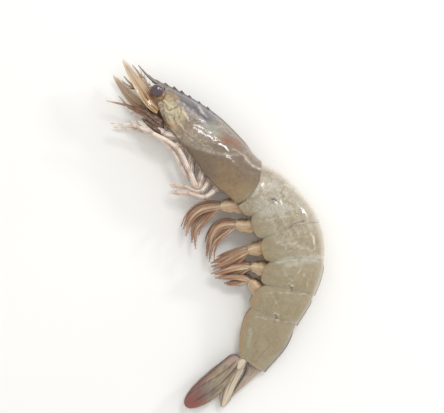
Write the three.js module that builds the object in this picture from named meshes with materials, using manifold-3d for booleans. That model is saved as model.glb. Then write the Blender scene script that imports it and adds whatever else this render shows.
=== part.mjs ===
// Black tiger shrimp, whole and raw, lying on its right side with its tail curled under.
// Millimetres, +Z up. The head points towards -X +Y, the back faces +X and the tail fan -Y.
// Places on the body are given as along (from the eyes towards the tail), back (from the
// body's axis towards the back, negative towards the belly) and side (towards the left).
import * as THREE from 'three';
import Module from 'manifold-3d';
import { LoftGeometry } from 'three/addons/geometries/LoftGeometry.js';
import { mergeVertices } from 'three/addons/utils/BufferGeometryUtils.js';

const wasm = await Module();
wasm.setup();

// The body's axis: a straight head shield, then six rings that bend towards the belly.
const EYES = new THREE.Vector2( -22.8, 60.2 );
const HEAD_HEADING = -45;
const SHIELD_LENGTH = 52.3;
const RINGS = [
	{ length: 12.5, bend: 2 },
	{ length: 12.4, bend: 16 },
	{ length: 14.5, bend: 24 },
	{ length: 15.0, bend: 24 },
	{ length: 14.6, bend: 9 },
	{ length: 20.2, bend: -4 },
];

// Half sizes of the body along its axis: [ along, size ].
const BACK = [
	[ -2, 5.0 ], [ 7, 7.7 ], [ 16, 9.8 ], [ 25, 11.1 ], [ 37, 11.1 ], [ 49, 10.6 ], [ 58, 12.7 ],
	[ 68, 13.8 ], [ 80, 14.8 ], [ 90, 13.7 ], [ 103, 11.2 ], [ 117, 9.2 ], [ 128, 9.6 ], [ 142, 6.7 ],
];
const BELLY = [
	[ 2, 5.8 ], [ 11, 7.2 ], [ 22, 8.1 ], [ 32, 9.4 ], [ 42, 10.4 ], [ 53, 9.7 ], [ 62, 10.2 ],
	[ 76, 12.2 ], [ 92, 12.2 ], [ 108, 12.8 ], [ 118, 12.8 ], [ 129, 10.4 ], [ 140, 6.6 ],
];
const WIDTH = [
	[ -2, 3.4 ], [ 4, 5.4 ], [ 12, 7.8 ], [ 22, 9.6 ], [ 34, 10.4 ], [ 46, 10.3 ], [ 60, 9.5 ],
	[ 76, 9.5 ], [ 92, 8.9 ], [ 106, 7.9 ], [ 120, 6.5 ], [ 132, 5.3 ], [ 142, 4.2 ],
];

// Where plates meet, as places along the body at the back, the side and the belly.
const SHIELD_FRONT = { back: -1.5, side: 1.5, belly: 11 };
const SHIELD_REAR = { back: 49.4, side: 56.2, belly: 55 };
const RING_REARS = [
	{ back: 67.5, side: 65.2, belly: 63.2 },
	{ back: 80.5, side: 77.6, belly: 76.8 },
	{ back: 92.5, side: 90.6, belly: 92.2 },
	{ back: 104.2, side: 103.8, belly: 107.0 },
	{ back: 117.2, side: 117.6, belly: 120.4 },
	{ back: 141.9, side: 141.0, belly: 139.8 },
];

const PLATE_GAP = 0.4;
const REST_DEPTH = 0.35;
const SHIELD_HEIGHT_FROM = 34;
const SECTION_POINTS = 20;
const CUT_GAP = 0.3;
const BELLY_FULLNESS = 1.14;
const BELLY_HOLLOW = 4.4;
const BELLY_HOLLOW_REACH = 0.62;
const KEEL_HEIGHT = 0.5;
const SURFACE_TOLERANCE = 0.02;

// The part's place: its outline's bounding box is centred on the origin, on the ground.
const CENTRE_SHIFT = new THREE.Vector2( -0.13, -0.4 );

const COLOURS = {
	shield: '#927a5e',
	head: '#b09a78',
	rings: '#b3a891',
	eye: '#3b2a2c',
	legs: '#d9bfae',
	feelers: '#b98f6a',
	scales: '#a98f66',
	paddles: '#9a6f50',
	telson: '#8d7c6a',
	fan: '#84665e',
};

// A smooth curve through a list of [ place, value ] pairs, as a cubic from each to the next.
function smoothValue( stations, place ) {

	const last = stations.length - 1;
	let index = 0;
	while ( index < last - 1 && place > stations[ index + 1 ][ 0 ] ) index ++;
	const slope = ( i ) => {

		const low = stations[ Math.max( 0, i - 1 ) ];
		const high = stations[ Math.min( last, i + 1 ) ];
		return ( high[ 1 ] - low[ 1 ] ) / ( high[ 0 ] - low[ 0 ] );

	};

	const [ start, from ] = stations[ index ];
	const [ end, to ] = stations[ index + 1 ];
	const span = end - start;
	const t = THREE.MathUtils.clamp( ( place - start ) / span, 0, 1 );
	const ease = t * t * ( 3 - 2 * t );
	const pull = slope( index ) * t * ( 1 - t ) ** 2 - slope( index + 1 ) * t * t * ( 1 - t );
	return from + ( to - from ) * ease + span * pull;

}

// The axis point and heading at a place along the body.
function axisAt( along ) {

	const point = EYES.clone();
	let heading = THREE.MathUtils.degToRad( HEAD_HEADING );
	let left = along;
	for ( const { length, bend } of [ { length: SHIELD_LENGTH, bend: 0 }, ...RINGS ] ) {

		if ( left <= 0 ) break;
		const step = Math.min( left, length );
		const turn = -THREE.MathUtils.degToRad( bend ) * step / length;
		const middle = heading + turn / 2;
		const chord = step * ( turn === 0 ? 1 : Math.sin( turn / 2 ) / ( turn / 2 ) );
		point.x += chord * Math.cos( middle );
		point.y += chord * Math.sin( middle );
		heading += turn;
		left -= step;

	}

	if ( left > 0 || along < 0 ) {

		point.x += left * Math.cos( heading );
		point.y += left * Math.sin( heading );

	}

	return { point, heading };

}

// Height of the body's middle plane: each stretch of the body lies on the ground.
function middleHeight( along ) {

	return smoothValue( WIDTH, Math.max( along, SHIELD_HEIGHT_FROM ) ) - REST_DEPTH;

}

function place( along, back, side ) {

	const { point, heading } = axisAt( along );
	return new THREE.Vector3(
		point.x - back * Math.sin( heading ) + CENTRE_SHIFT.x,
		point.y + back * Math.cos( heading ) + CENTRE_SHIFT.y,
		Math.max( 0, middleHeight( along ) + side ),
	);

}

// The place along the body of a plate's edge, at a height u from -1 (belly) to 1 (back).
function edgeAt( edge, u ) {

	const slant = ( edge.back - edge.belly ) / 2;
	const bow = ( edge.back + edge.belly ) / 2 - edge.side;
	return edge.side + slant * u + bow * u * u;

}

function shiftEdge( edge, shift ) {

	return { back: edge.back + shift, side: edge.side + shift, belly: edge.belly + shift };

}

function solidFrom( geometry ) {

	const bare = new THREE.BufferGeometry();
	bare.setAttribute( 'position', geometry.getAttribute( 'position' ) );
	bare.setIndex( geometry.getIndex() );
	const merged = mergeVertices( bare, 1e-4 );
	return new wasm.Manifold( new wasm.Mesh( {
		numProp: 3,
		vertProperties: new Float32Array( merged.getAttribute( 'position' ).array ),
		triVerts: new Uint32Array( merged.getIndex().array ),
	} ) );

}

function geometryFrom( solid ) {

	const mesh = solid.simplify( SURFACE_TOLERANCE ).getMesh();
	const geometry = new THREE.BufferGeometry();
	geometry.setAttribute( 'position', new THREE.BufferAttribute( mesh.vertProperties, 3 ) );
	geometry.setIndex( new THREE.BufferAttribute( mesh.triVerts, 1 ) );
	geometry.computeVertexNormals();
	return geometry;

}

function joined( geometries ) {

	const [ first, ...others ] = geometries.map( solidFrom );
	return geometryFrom( others.reduce( ( whole, piece ) => whole.add( piece ), first ) );

}

// A piece whose root starts inside the body, cut off just clear of what carries it. The
// cut can leave a scrap of the root in the belly's hollow, so only the largest part stays.
function rooted( geometry, carriers ) {

	const cut = carriers.reduce( ( rest, carrier ) => rest.subtract( carrier ), solidFrom( geometry ) );
	const parts = cut.decompose().sort( ( a, b ) => b.volume() - a.volume() );
	return geometryFrom( parts[ 0 ] );

}

// A closed skin over rings of points, its ends closed by a fan round each end ring's centre.
function loft( sections ) {

	const wall = new LoftGeometry( sections );
	const columns = sections[ 0 ].length;
	const centres = [ sections[ 0 ], sections[ sections.length - 1 ] ].map( ( ring ) =>
		ring.reduce( ( sum, point ) => sum.add( point ), new THREE.Vector3() ).divideScalar( columns ) );
	const positions = [ ...wall.getAttribute( 'position' ).array ];
	for ( const centre of centres ) positions.push( ...centre.toArray() );
	const index = [ ...wall.getIndex().array ];
	const firstCentre = positions.length / 3 - 2;
	const lastRow = ( sections.length - 1 ) * ( columns + 1 );
	for ( let i = 0; i < columns; i ++ ) {

		index.push( i + 1, i, firstCentre );
		index.push( lastRow + i, lastRow + i + 1, firstCentre + 1 );

	}

	const closed = new THREE.BufferGeometry();
	closed.setAttribute( 'position', new THREE.Float32BufferAttribute( positions, 3 ) );
	closed.setIndex( index );
	closed.computeVertexNormals();
	return closed;

}

// One closed plate of the body between two edges. Each section runs once round the body:
// a round back, fuller sides, and a belly hollow between the two lower flaps.
function plate( { front, rear, sections, scaleAt, keel = 0, lobe = 0 }, grow = 0 ) {

	front = shiftEdge( front, -grow );
	rear = shiftEdge( rear, grow );
	const ring = ( t, scale ) => {

		const backPlace = THREE.MathUtils.lerp( front.back, rear.back, t );
		const sidePlace = THREE.MathUtils.lerp( front.side, rear.side, t );
		const bellyPlace = THREE.MathUtils.lerp( front.belly, rear.belly, t );
		const back = smoothValue( BACK, backPlace ) + grow;
		const width = smoothValue( WIDTH, sidePlace ) + grow;
		const fullBelly = smoothValue( BELLY, bellyPlace );
		const belly = fullBelly * ( 1 - lobe * ( 2 * t - 1 ) ** 4 ) + grow;
		const points = [];
		for ( let i = 0; i < SECTION_POINTS; i ++ ) {

			const angle = 2 * Math.PI * i / SECTION_POINTS;
			const across = Math.abs( Math.cos( angle ) );
			const up = Math.sin( angle );
			const isBelly = up < -1e-6;
			const side = -Math.sign( Math.cos( angle ) ) * ( isBelly ? across ** 0.6 : across ** 0.95 );
			let height = isBelly ? -belly * BELLY_FULLNESS * Math.abs( up ) ** 0.75 : back * up;
			if ( isBelly && Math.abs( side ) < BELLY_HOLLOW_REACH ) {

				height += ( BELLY_HOLLOW - grow ) * ( 1 - ( side / BELLY_HOLLOW_REACH ) ** 2 );

			}

			if ( across < 1e-6 && up > 0 ) height += keel;
			const u = height > 0 ? height / back : height / fullBelly;
			const along = THREE.MathUtils.lerp( edgeAt( front, u * scale ), edgeAt( rear, u * scale ), t );
			points.push( place( along, height * scale, side * width * scale ) );

		}

		return points;

	};

	const rings = [ ring( 0, 0.3 ), ring( 0, 0.7 ) ];
	for ( let i = 0; i <= sections; i ++ ) rings.push( ring( i / sections, scaleAt( i / sections ) ) );
	rings.push( ring( 1, 0.7 ), ring( 1, 0.3 ) );
	return loft( rings );

}

// The beak: a thin blade over the eyes that runs back along the shield as a low ridge.
const BEAK = { tip: -17, root: 18, teeth: 8, toothTop: 0.75, toothFrom: -11, toothTo: 17 };
const BEAK_TOP = [ [ -17, 2.6 ], [ -9, 2.8 ], [ -3, 4.8 ], [ 4, 7.0 ], [ 10, 8.4 ], [ 18, 10.2 ] ];
const BEAK_BOTTOM = [ [ -17, 2.2 ], [ -9, 1.6 ], [ 0, 3.0 ], [ 8, 6.5 ], [ 18, 9.6 ] ];
const BEAK_HALF_WIDTH = [ [ -17, 0.12 ], [ -9, 0.7 ], [ 0, 1.2 ], [ 18, 0.9 ] ];

function beak() {

	const spacing = ( BEAK.toothTo - BEAK.toothFrom ) / BEAK.teeth;
	const places = [ BEAK.tip, ( BEAK.tip + BEAK.toothFrom ) / 2 ];
	for ( let i = 0; i < BEAK.teeth; i ++ ) {

		const start = BEAK.toothFrom + i * spacing;
		places.push( start, start + spacing * 0.18, start + spacing * 0.6 );

	}

	places.push( BEAK.root );
	const ring = ( along ) => {

		const since = ( along - BEAK.toothFrom ) / spacing;
		const inTooth = since - Math.floor( since + 1e-6 );
		const hasTooth = since > 0.1 && since < BEAK.teeth;
		const rise = hasTooth ? Math.max( 0, 1.22 - 1.22 * inTooth ) * BEAK.toothTop : 0;
		const top = smoothValue( BEAK_TOP, along ) + rise;
		const bottom = smoothValue( BEAK_BOTTOM, along );
		const middle = THREE.MathUtils.lerp( bottom, top - rise, 0.5 );
		const width = smoothValue( BEAK_HALF_WIDTH, along );
		return [
			place( along, middle, -width ),
			place( along, top - rise * 0.5, -width * 0.45 ),
			place( along, top, 0 ),
			place( along, top - rise * 0.5, width * 0.45 ),
			place( along, middle, width ),
			place( along, bottom, 0 ),
		];

	};

	return loft( places.map( ring ) );

}

const SHIELD_SHELL = {
	front: SHIELD_FRONT,
	rear: SHIELD_REAR,
	sections: 16,
	scaleAt: ( t ) => 0.97 + 0.03 * Math.sin( Math.PI * Math.min( 1, t * 4 ) / 2 ),
	lobe: 0.05,
};

// A ring of the abdomen: a narrow neck under the plate before it, then its full width.
const RING_NECK = 0.945;
const KEEL_FROM_RING = 3;

function ringShell( index ) {

	const before = index === 0 ? SHIELD_REAR : RING_REARS[ index - 1 ];
	return {
		front: shiftEdge( before, PLATE_GAP ),
		rear: RING_REARS[ index ],
		sections: index === 5 ? 8 : 6,
		scaleAt: ( t ) => RING_NECK + ( 1 - RING_NECK ) * Math.min( 1, t * 3.2 ),
		keel: index >= KEEL_FROM_RING ? KEEL_HEIGHT : 0,
		lobe: index === 5 ? 0.1 : 0.18,
	};

}

// The front of the head, under the beak: it carries the eyes and the feelers.
function headFront( grow = 0 ) {

	const rear = shiftEdge( SHIELD_FRONT, -1.5 * PLATE_GAP );
	const ring = ( t, scale ) => {

		const points = [];
		const back = THREE.MathUtils.lerp( 0.2, 1.6, t ) + grow;
		const belly = THREE.MathUtils.lerp( 6.4, 8.0, t ) + grow;
		const width = THREE.MathUtils.lerp( 2.9, 4.6, t ) + grow;
		for ( let i = 0; i < SECTION_POINTS / 2; i ++ ) {

			const angle = 4 * Math.PI * i / SECTION_POINTS;
			const up = Math.sin( angle );
			const height = ( up > 0 ? back * up : belly * up ) * scale - 0.4;
			const along = edgeAt( rear, height / 8 ) - ( 1 - t ) * 6.5 + grow * ( 2 * t - 1 );
			points.push( place( along, height, -width * Math.cos( angle ) * scale ) );

		}

		return points;

	};

	const stations = [ [ 0, 0.5 ], [ 0.05, 0.85 ], [ 0.35, 1 ], [ 0.7, 1 ], [ 1, 1 ], [ 1, 0.4 ] ];
	return loft( stations.map( ( [ t, scale ] ) => ring( t, scale ) ) );

}

// The breast between the legs: a keel along the underside that the legs come out of.
const BREAST = { from: 17, to: 49, halfWidth: 3.2, depth: 3.4, clearance: 0.9 };

function breast( grow = 0 ) {

	const rings = [];
	const steps = 8;
	for ( let i = 0; i <= steps; i ++ ) {

		const t = i / steps;
		const along = THREE.MathUtils.lerp( BREAST.from - grow, BREAST.to + grow, t );
		const size = 0.45 + 0.55 * Math.sqrt( Math.sin( Math.PI * ( 0.08 + 0.84 * t ) ) );
		const points = [];
		for ( let j = 0; j < 8; j ++ ) {

			const angle = 2 * Math.PI * j / 8;
			const height = breastMiddle( along ) + ( BREAST.depth / 2 * size + grow ) * Math.sin( angle );
			points.push( place( along, height, -( BREAST.halfWidth * size + grow ) * Math.cos( angle ) ) );

		}

		rings.push( points );

	}

	return loft( rings );

}

function bellyRoof( along ) {

	return BELLY_HOLLOW - smoothValue( BELLY, along ) * BELLY_FULLNESS;

}

function breastMiddle( along ) {

	return bellyRoof( along ) - BREAST.clearance - BREAST.depth / 2;

}

// A round limb along a route, its half widths spread evenly from root to tip.
function limb( route, halfWidths, steps = 9, sides = 6, flatness = 1 ) {

	const curve = new THREE.CatmullRomCurve3( route, false, 'centripetal' );
	const frames = curve.computeFrenetFrames( steps, false );
	const rings = [];
	for ( let i = 0; i <= steps; i ++ ) {

		const centre = curve.getPointAt( i / steps );
		const spot = i / steps * ( halfWidths.length - 1 );
		const index = Math.min( halfWidths.length - 2, Math.floor( spot ) );
		const radius = THREE.MathUtils.lerp( halfWidths[ index ], halfWidths[ index + 1 ], spot - index );
		const points = [];
		for ( let j = 0; j < sides; j ++ ) {

			const angle = 2 * Math.PI * j / sides;
			const point = centre.clone();
			point.addScaledVector( frames.normals[ i ], radius * Math.cos( angle ) );
			point.addScaledVector( frames.binormals[ i ], radius * Math.sin( angle ) );
			point.z = Math.max( 0, centre.z + ( point.z - centre.z ) * flatness );
			points.push( point );

		}

		rings.push( points );

	}

	return loft( rings );

}

// A thin wavy blade along a route, level or tilted, widest at the share of its length
// that is given. Its section is an outline of [ share of the width, face ] pairs.
const FINE_BLADE = [
	[ 1, 0 ], [ 0.55, 1 ], [ 0, 1.5 ], [ -0.55, 1 ], [ -1, 0 ], [ -0.55, -1 ], [ 0, -1 ], [ 0.55, -1 ],
];
const BLADE_TIP = 0.03;
const PLAIN_BLADE = [ [ 1, 0 ], [ 0.4, 1 ], [ -0.4, 1 ], [ -1, 0 ], [ -0.4, -1 ], [ 0.4, -1 ] ];

function blade( route, form ) {

	const { halfWidth, thickness, steps, outline = FINE_BLADE } = form;
	const { tilt = 0, cup = 0, wave = 0, root = 0.45, widest = 0.62, taper = 0.5 } = form;
	const curve = new THREE.CatmullRomCurve3( route, false, 'centripetal' );
	const rings = [];
	for ( let i = 0; i <= steps; i ++ ) {

		const t = i / steps;
		const centre = curve.getPointAt( t );
		const tangent = curve.getTangentAt( t );
		const across = new THREE.Vector3( 0, 0, 1 ).cross( tangent ).normalize();
		across.applyAxisAngle( tangent, tilt );
		const normal = tangent.clone().cross( across );
		const spread = t < widest
			? root + ( 1 - root ) * Math.sin( Math.PI / 2 * t / widest )
			: Math.max( BLADE_TIP, 1 - ( ( t - widest ) / ( 1 - widest ) ) ** 2 ) ** taper;
		const width = halfWidth * spread;
		const lift = wave * Math.sin( 2 * Math.PI * t );
		const points = [];
		for ( const [ share, face ] of outline ) {

			const point = centre.clone();
			point.addScaledVector( across, share * width );
			point.addScaledVector( normal, face * thickness / 2 + lift * share + cup * share * share );
			point.z = Math.max( 0, point.z );
			points.push( point );

		}

		rings.push( points );

	}

	return loft( rings );

}

// Points of a route in body places, which sags by a given depth towards its far end.
function routeOf( points, sag = 0 ) {

	return points.map( ( [ along, back, side ], index ) => {

		const point = place( along, back, side );
		const share = index / ( points.length - 1 );
		point.z = Math.max( 0.6, point.z - sag * share * share );
		return point;

	} );

}

function mirrored( points, side ) {

	return points.map( ( [ along, back, across ] ) => [ along, back, across * side ] );

}

const SIDES = [ { name: 'left', side: 1 }, { name: 'right', side: -1 } ];

// The body's plates, also grown by the gap that a piece rooted in one keeps to it.
const HEAD_BLOCK = solidFrom( headFront( CUT_GAP ) );
const BREAST_BLOCK = solidFrom( breast( CUT_GAP ) );
const SHIELD_BLOCK = solidFrom( plate( SHIELD_SHELL, CUT_GAP ) );
const RING_BLOCKS = RINGS.map( ( ring, index ) => solidFrom( plate( ringShell( index ), CUT_GAP ) ) );

// Eyes: a ball on a short stalk.
const EYE = { radius: 2.95, along: -2.6, back: 0.2, side: 6.6, stalk: 1.25 };

function eye( side ) {

	const centre = place( EYE.along, EYE.back, EYE.side * side );
	const ball = new THREE.SphereGeometry( EYE.radius, 14, 9 );
	ball.translate( centre.x, centre.y, centre.z );
	const root = place( EYE.along + 3.4, EYE.back - 1.4, 2.2 * side );
	const stalk = limb( [ root, centre ], [ EYE.stalk, EYE.stalk * 1.3 ], 2, 7 );
	return rooted( joined( [ ball, stalk ] ), [ HEAD_BLOCK, SHIELD_BLOCK ] );

}

// Small feelers: a thick three-jointed stem with two short whips.
const SMALL_FEELERS = {
	left: {
		stem: [ [ -3.0, -1.9, 1.7 ], [ -7.5, -1.4, 2.1 ], [ -12, -0.6, 2.2 ] ],
		upper: [ [ -11, -0.3, 2.2 ], [ -15, 0.3, 2.5 ], [ -18.6, 0.7, 2.9 ] ],
		lower: [ [ -11, -0.9, 2.2 ], [ -15, -1.4, 2.4 ], [ -18, -2.4, 2.6 ] ],
	},
	right: {
		stem: [ [ -3.0, -2.4, -1.7 ], [ -7.5, -3.8, -2.1 ], [ -12, -5.2, -2.3 ] ],
		upper: [ [ -11, -4.8, -2.3 ], [ -15, -5.4, -2.6 ], [ -18.6, -5.2, -2.9 ] ],
		lower: [ [ -11, -5.5, -2.3 ], [ -14.4, -6.9, -2.5 ], [ -17.6, -7.2, -2.8 ] ],
	},
};

function smallFeeler( name ) {

	const { stem, upper, lower } = SMALL_FEELERS[ name ];
	const whole = joined( [
		limb( routeOf( stem ), [ 1.4, 1.5, 1.3, 1.45, 1.1, 1.2, 0.8 ], 6, 7 ),
		limb( routeOf( upper, 0.8 ), [ 0.5, 0.25 ], 4, 5 ),
		limb( routeOf( lower, 0.8 ), [ 0.5, 0.25 ], 4, 5 ),
	] );
	return rooted( whole, [ HEAD_BLOCK ] );

}

// Scales beside the feelers: long thin blades, the right one lower than the left.
const SCALES = {
	left: [ [ 3.6, -5.6, 2.8 ], [ -0.5, -5.6, 5.3 ], [ -8, -3.9, 6.2 ], [ -22.2, -1.1, 5.0 ] ],
	right: [ [ 3.6, -5.6, -2.8 ], [ 0, -7.4, -5.6 ], [ -8, -9.4, -6.3 ], [ -21.8, -8.6, -5.4 ] ],
};
const SCALE_FORM = { halfWidth: 2.9, thickness: 0.7, root: 0.5, widest: 0.38, taper: 0.8, steps: 9 };
const SCALE_TILT = 0.6;

function feelerScale( name, side ) {

	const leaf = blade( routeOf( SCALES[ name ] ), { ...SCALE_FORM, tilt: SCALE_TILT * side } );
	return rooted( leaf, [ HEAD_BLOCK, SHIELD_BLOCK ] );

}

// Long feelers: a stout stem and the start of the whip.
const LONG_FEELERS = {
	left: [ [ 4.4, -7.4, 1.8 ], [ -1.0, -10.0, 3.4 ], [ -7, -12.8, 4.2 ], [ -15.8, -18.2, 4.4 ] ],
	right: [ [ 4.4, -7.4, -1.8 ], [ -1, -10.4, -3.8 ], [ -7, -13.0, -4.8 ], [ -14.9, -12.8, -5.2 ] ],
};

const LONG_FEELER_TAPER = [ 1.5, 1.7, 1.3, 0.6, 0.5, 0.4, 0.2 ];

function longFeeler( name ) {

	const whip = limb( routeOf( LONG_FEELERS[ name ], 3 ), LONG_FEELER_TAPER, 10, 6 );
	return rooted( whip, [ HEAD_BLOCK, SHIELD_BLOCK ] );

}

// Jaw legs and walking legs: a hip in the breast, then points in body places. The first
// three walking legs end in a claw of two fingers.
const JAW_LEG = {
	hip: 17.5,
	points: [
		[ 12, -10.2, 2.7 ], [ 7, -10.3, 2.3 ], [ 3, -11.2, 1.5 ], [ -2, -12.6, 1.2 ], [ -6, -13.6, 1.2 ],
	],
	halfWidths: [ 1.3, 1.2, 1.1, 1.0, 0.8, 0.3 ],
};
const WALKING_LEGS = [
	{
		hip: 21.5, halfWidth: 0.85, claw: 4.5,
		points: [ [ 17.5, -12.0, 2.6 ], [ 12, -13.2, 2.0 ], [ 6, -14.4, 1.7 ], [ 1.5, -15.6, 1.7 ] ],
	},
	{
		hip: 27, halfWidth: 0.85, claw: 5,
		points: [ [ 32.4, -16.0, 3.6 ], [ 26.8, -15.0, 4.6 ], [ 19.8, -12.9, 4.9 ], [ 4.8, -14.0, 4.6 ] ],
	},
	{
		hip: 35, halfWidth: 0.9, claw: 5.5,
		points: [
			[ 38.2, -16.6, 5.0 ], [ 31.3, -14.2, 6.6 ], [ 21.0, -10.9, 7.0 ], [ 8.5, -13.9, 6.9 ],
			[ 0.5, -17.3, 6.5 ], [ -3.3, -20.4, 6.0 ],
		],
	},
	{
		hip: 39.5, halfWidth: 0.75,
		points: [ [ 40.2, -16.6, 4.4 ], [ 34.1, -20.1, 4.2 ], [ 28.6, -24.6, 2.8 ] ],
	},
	{
		hip: 44.5, halfWidth: 0.75,
		points: [ [ 43.4, -17.0, 4.2 ], [ 37.4, -20.9, 4.0 ], [ 31, -26.4, 2.4 ] ],
	},
];
const HIP_SIDE = 1.7;
const LEG_SAG = 1.6;
const LEG_TAPER = [ 1.9, 1.5, 1.1, 1.0, 0.9, 0.85, 0.85 ];
const CLAW_TURN = 0.16;
const RIGHT_LEG_SHIFT = 0.7;

function legRoute( hip, points, side ) {

	const root = [ hip, breastMiddle( hip ), HIP_SIDE ];
	const shift = side > 0 ? 0 : RIGHT_LEG_SHIFT;
	const moved = points.map( ( [ along, back, across ] ) => [ along + shift, back - shift / 2, across ] );
	return routeOf( mirrored( [ root, ...moved ], side ), LEG_SAG );

}

function clawFingers( route, length, halfWidth ) {

	const curve = new THREE.CatmullRomCurve3( route, false, 'centripetal' );
	const end = curve.getPointAt( 1 );
	const heading = curve.getTangentAt( 1 );
	return [ -CLAW_TURN, CLAW_TURN ].map( ( turn ) => {

		const finger = heading.clone().applyAxisAngle( new THREE.Vector3( 0, 0, 1 ), turn );
		const root = end.clone().addScaledVector( heading, -halfWidth );
		const knuckle = root.clone().addScaledVector( finger, length / 2 );
		const tip = end.clone().addScaledVector( heading, length );
		return limb( [ root, knuckle, tip ], [ halfWidth * 0.62, halfWidth * 0.55, 0.18 ], 3, 5 );

	} );

}

function walkingLeg( { hip, points, halfWidth, claw }, side ) {

	const route = legRoute( hip, points, side );
	const taper = [ ...LEG_TAPER, claw ? 0.8 : 0.2 ].map( ( share ) => share * halfWidth );
	const stem = limb( route, taper, 9, 6 );
	const whole = claw ? joined( [ stem, ...clawFingers( route, claw, halfWidth * 0.8 ) ] ) : stem;
	return rooted( whole, [ BREAST_BLOCK, SHIELD_BLOCK ] );

}

function jawLeg( side ) {

	const stem = limb( legRoute( JAW_LEG.hip, JAW_LEG.points, side ), JAW_LEG.halfWidths, 8, 6 );
	return rooted( stem, [ BREAST_BLOCK, SHIELD_BLOCK, HEAD_BLOCK ] );

}

// Swimming legs: a flat stem and two pointed blades, as points forward and down from
// the roof of the belly's hollow, on the ring that carries them.
const SWIMMING_LEGS = [
	{
		at: 59.5, knee: [ 4.5, 5.8 ], ankle: [ 8.2, 10 ],
		outer: [ [ 12.4, 16.4 ], [ 12.8, 22.4 ], [ 9.2, 29.4 ] ],
		inner: [ [ 8.6, 17.6 ], [ 7.8, 24.4 ], [ 2.2, 30.2 ] ],
	},
	{
		at: 70.5, knee: [ 3.2, 5.8 ], ankle: [ 6.8, 9.6 ],
		outer: [ [ 9.6, 14.4 ], [ 8.4, 20 ], [ 3.6, 25 ] ],
		inner: [ [ 6.2, 14.6 ], [ 5.6, 21.6 ], [ -0.2, 28 ] ],
	},
	{
		at: 84, knee: [ 1, 6.2 ], ankle: [ 1.4, 10.4 ],
		outer: [ [ 0.1, 16.6 ], [ -1.2, 22.3 ], [ -2.6, 27 ] ],
		inner: [ [ -1.2, 14.4 ], [ -2.4, 18.2 ], [ -3.2, 21.4 ] ],
	},
	{
		at: 98.5, knee: [ 1, 5.8 ], ankle: [ 1.2, 10 ],
		outer: [ [ 0.2, 16 ], [ -2.2, 21.6 ], [ -4, 26.4 ] ],
		inner: [ [ -1.2, 13.6 ], [ -2.6, 17.2 ], [ -3.6, 20 ] ],
	},
	{
		at: 112, knee: [ 2.4, 5 ], ankle: [ 3.8, 8.4 ],
		outer: [ [ 3, 13.4 ], [ 0.8, 18.2 ], [ -1.4, 22.4 ] ],
		inner: [ [ 1.2, 11.8 ], [ -0.6, 15 ], [ -2.2, 17.8 ] ],
	},
];
const SWIM_ROOT_DEPTH = 1.0;
const SWIM_SIDE = 3.2;
const SWIM_DROOP = 2;
const SWIM_STEM_FLATNESS = 0.62;
const RIGHT_SWIM_LEAN = -0.1;
const SWIM_BLADE = { thickness: 0.6, outline: PLAIN_BLADE, widest: 0.35, taper: 0.7 };
const SWIM_OUTER = { ...SWIM_BLADE, halfWidth: 1.2, cup: 0.3, steps: 8 };
const SWIM_INNER = { ...SWIM_BLADE, halfWidth: 1.0, cup: -0.3, steps: 7 };

function swimmingLeg( index, side ) {

	const { at, knee, ankle, outer, inner } = SWIMMING_LEGS[ index ];
	const { point, heading } = axisAt( at );
	const lean = side > 0 ? 0 : RIGHT_SWIM_LEAN;
	const start = -bellyRoof( at ) - SWIM_ROOT_DEPTH;
	const toPoint = ( [ forward, down ], across ) => {

		const ahead = forward * Math.cos( lean ) - down * Math.sin( lean );
		const below = start + forward * Math.sin( lean ) + down * Math.cos( lean );
		return new THREE.Vector3(
			point.x - ahead * Math.cos( heading ) + below * Math.sin( heading ) + CENTRE_SHIFT.x,
			point.y - ahead * Math.sin( heading ) - below * Math.cos( heading ) + CENTRE_SHIFT.y,
			middleHeight( at ) + across,
		);

	};

	const root = SWIM_SIDE * side;
	const bladeRoute = ( spots, spread ) => [ ankle, ...spots ].map( ( spot, i ) => {

		const share = i / spots.length;
		return toPoint( spot, root * 0.8 + spread * Math.min( 1, 3 * share ) - SWIM_DROOP * share );

	} );

	const stemRoute = [ [ 0, 0 ], knee, ankle ].map( ( spot, i ) =>
		toPoint( spot, root * ( 1 - 0.1 * i ) ) );
	const whole = joined( [
		limb( stemRoute, [ 1.7, 2.1, 1.9, 1.3 ], 4, 6, SWIM_STEM_FLATNESS ),
		blade( bladeRoute( outer, 0.5 ), SWIM_OUTER ),
		blade( bladeRoute( inner, -0.9 ), SWIM_INNER ),
	] );
	return rooted( whole, [ RING_BLOCKS[ index ], SHIELD_BLOCK ] );

}

// Telson: the pointed spike in the middle of the tail fan.
const TELSON = { from: 139.5, tip: 163.6, rootBack: 3.1, tipBack: -3.0, halfDepth: 3.8, halfWidth: 3.1 };
const TELSON_TAPER = 1.35;
const TELSON_POINT = 0.04;

function telson() {

	const rings = [];
	const steps = 8;
	for ( let i = 0; i <= steps; i ++ ) {

		const t = i / steps;
		const along = THREE.MathUtils.lerp( TELSON.from, TELSON.tip, t );
		const axis = THREE.MathUtils.lerp( TELSON.rootBack, TELSON.tipBack, t );
		const size = Math.max( TELSON_POINT, ( 1 - t ) ** TELSON_TAPER );
		const points = [];
		for ( let j = 0; j < 10; j ++ ) {

			const angle = 2 * Math.PI * j / 10;
			const height = axis + TELSON.halfDepth * size * Math.sin( angle );
			points.push( place( along, height, -TELSON.halfWidth * size * Math.cos( angle ) ) );

		}

		rings.push( points );

	}

	return rooted( loft( rings ), [ RING_BLOCKS[ 5 ] ] );

}

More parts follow.
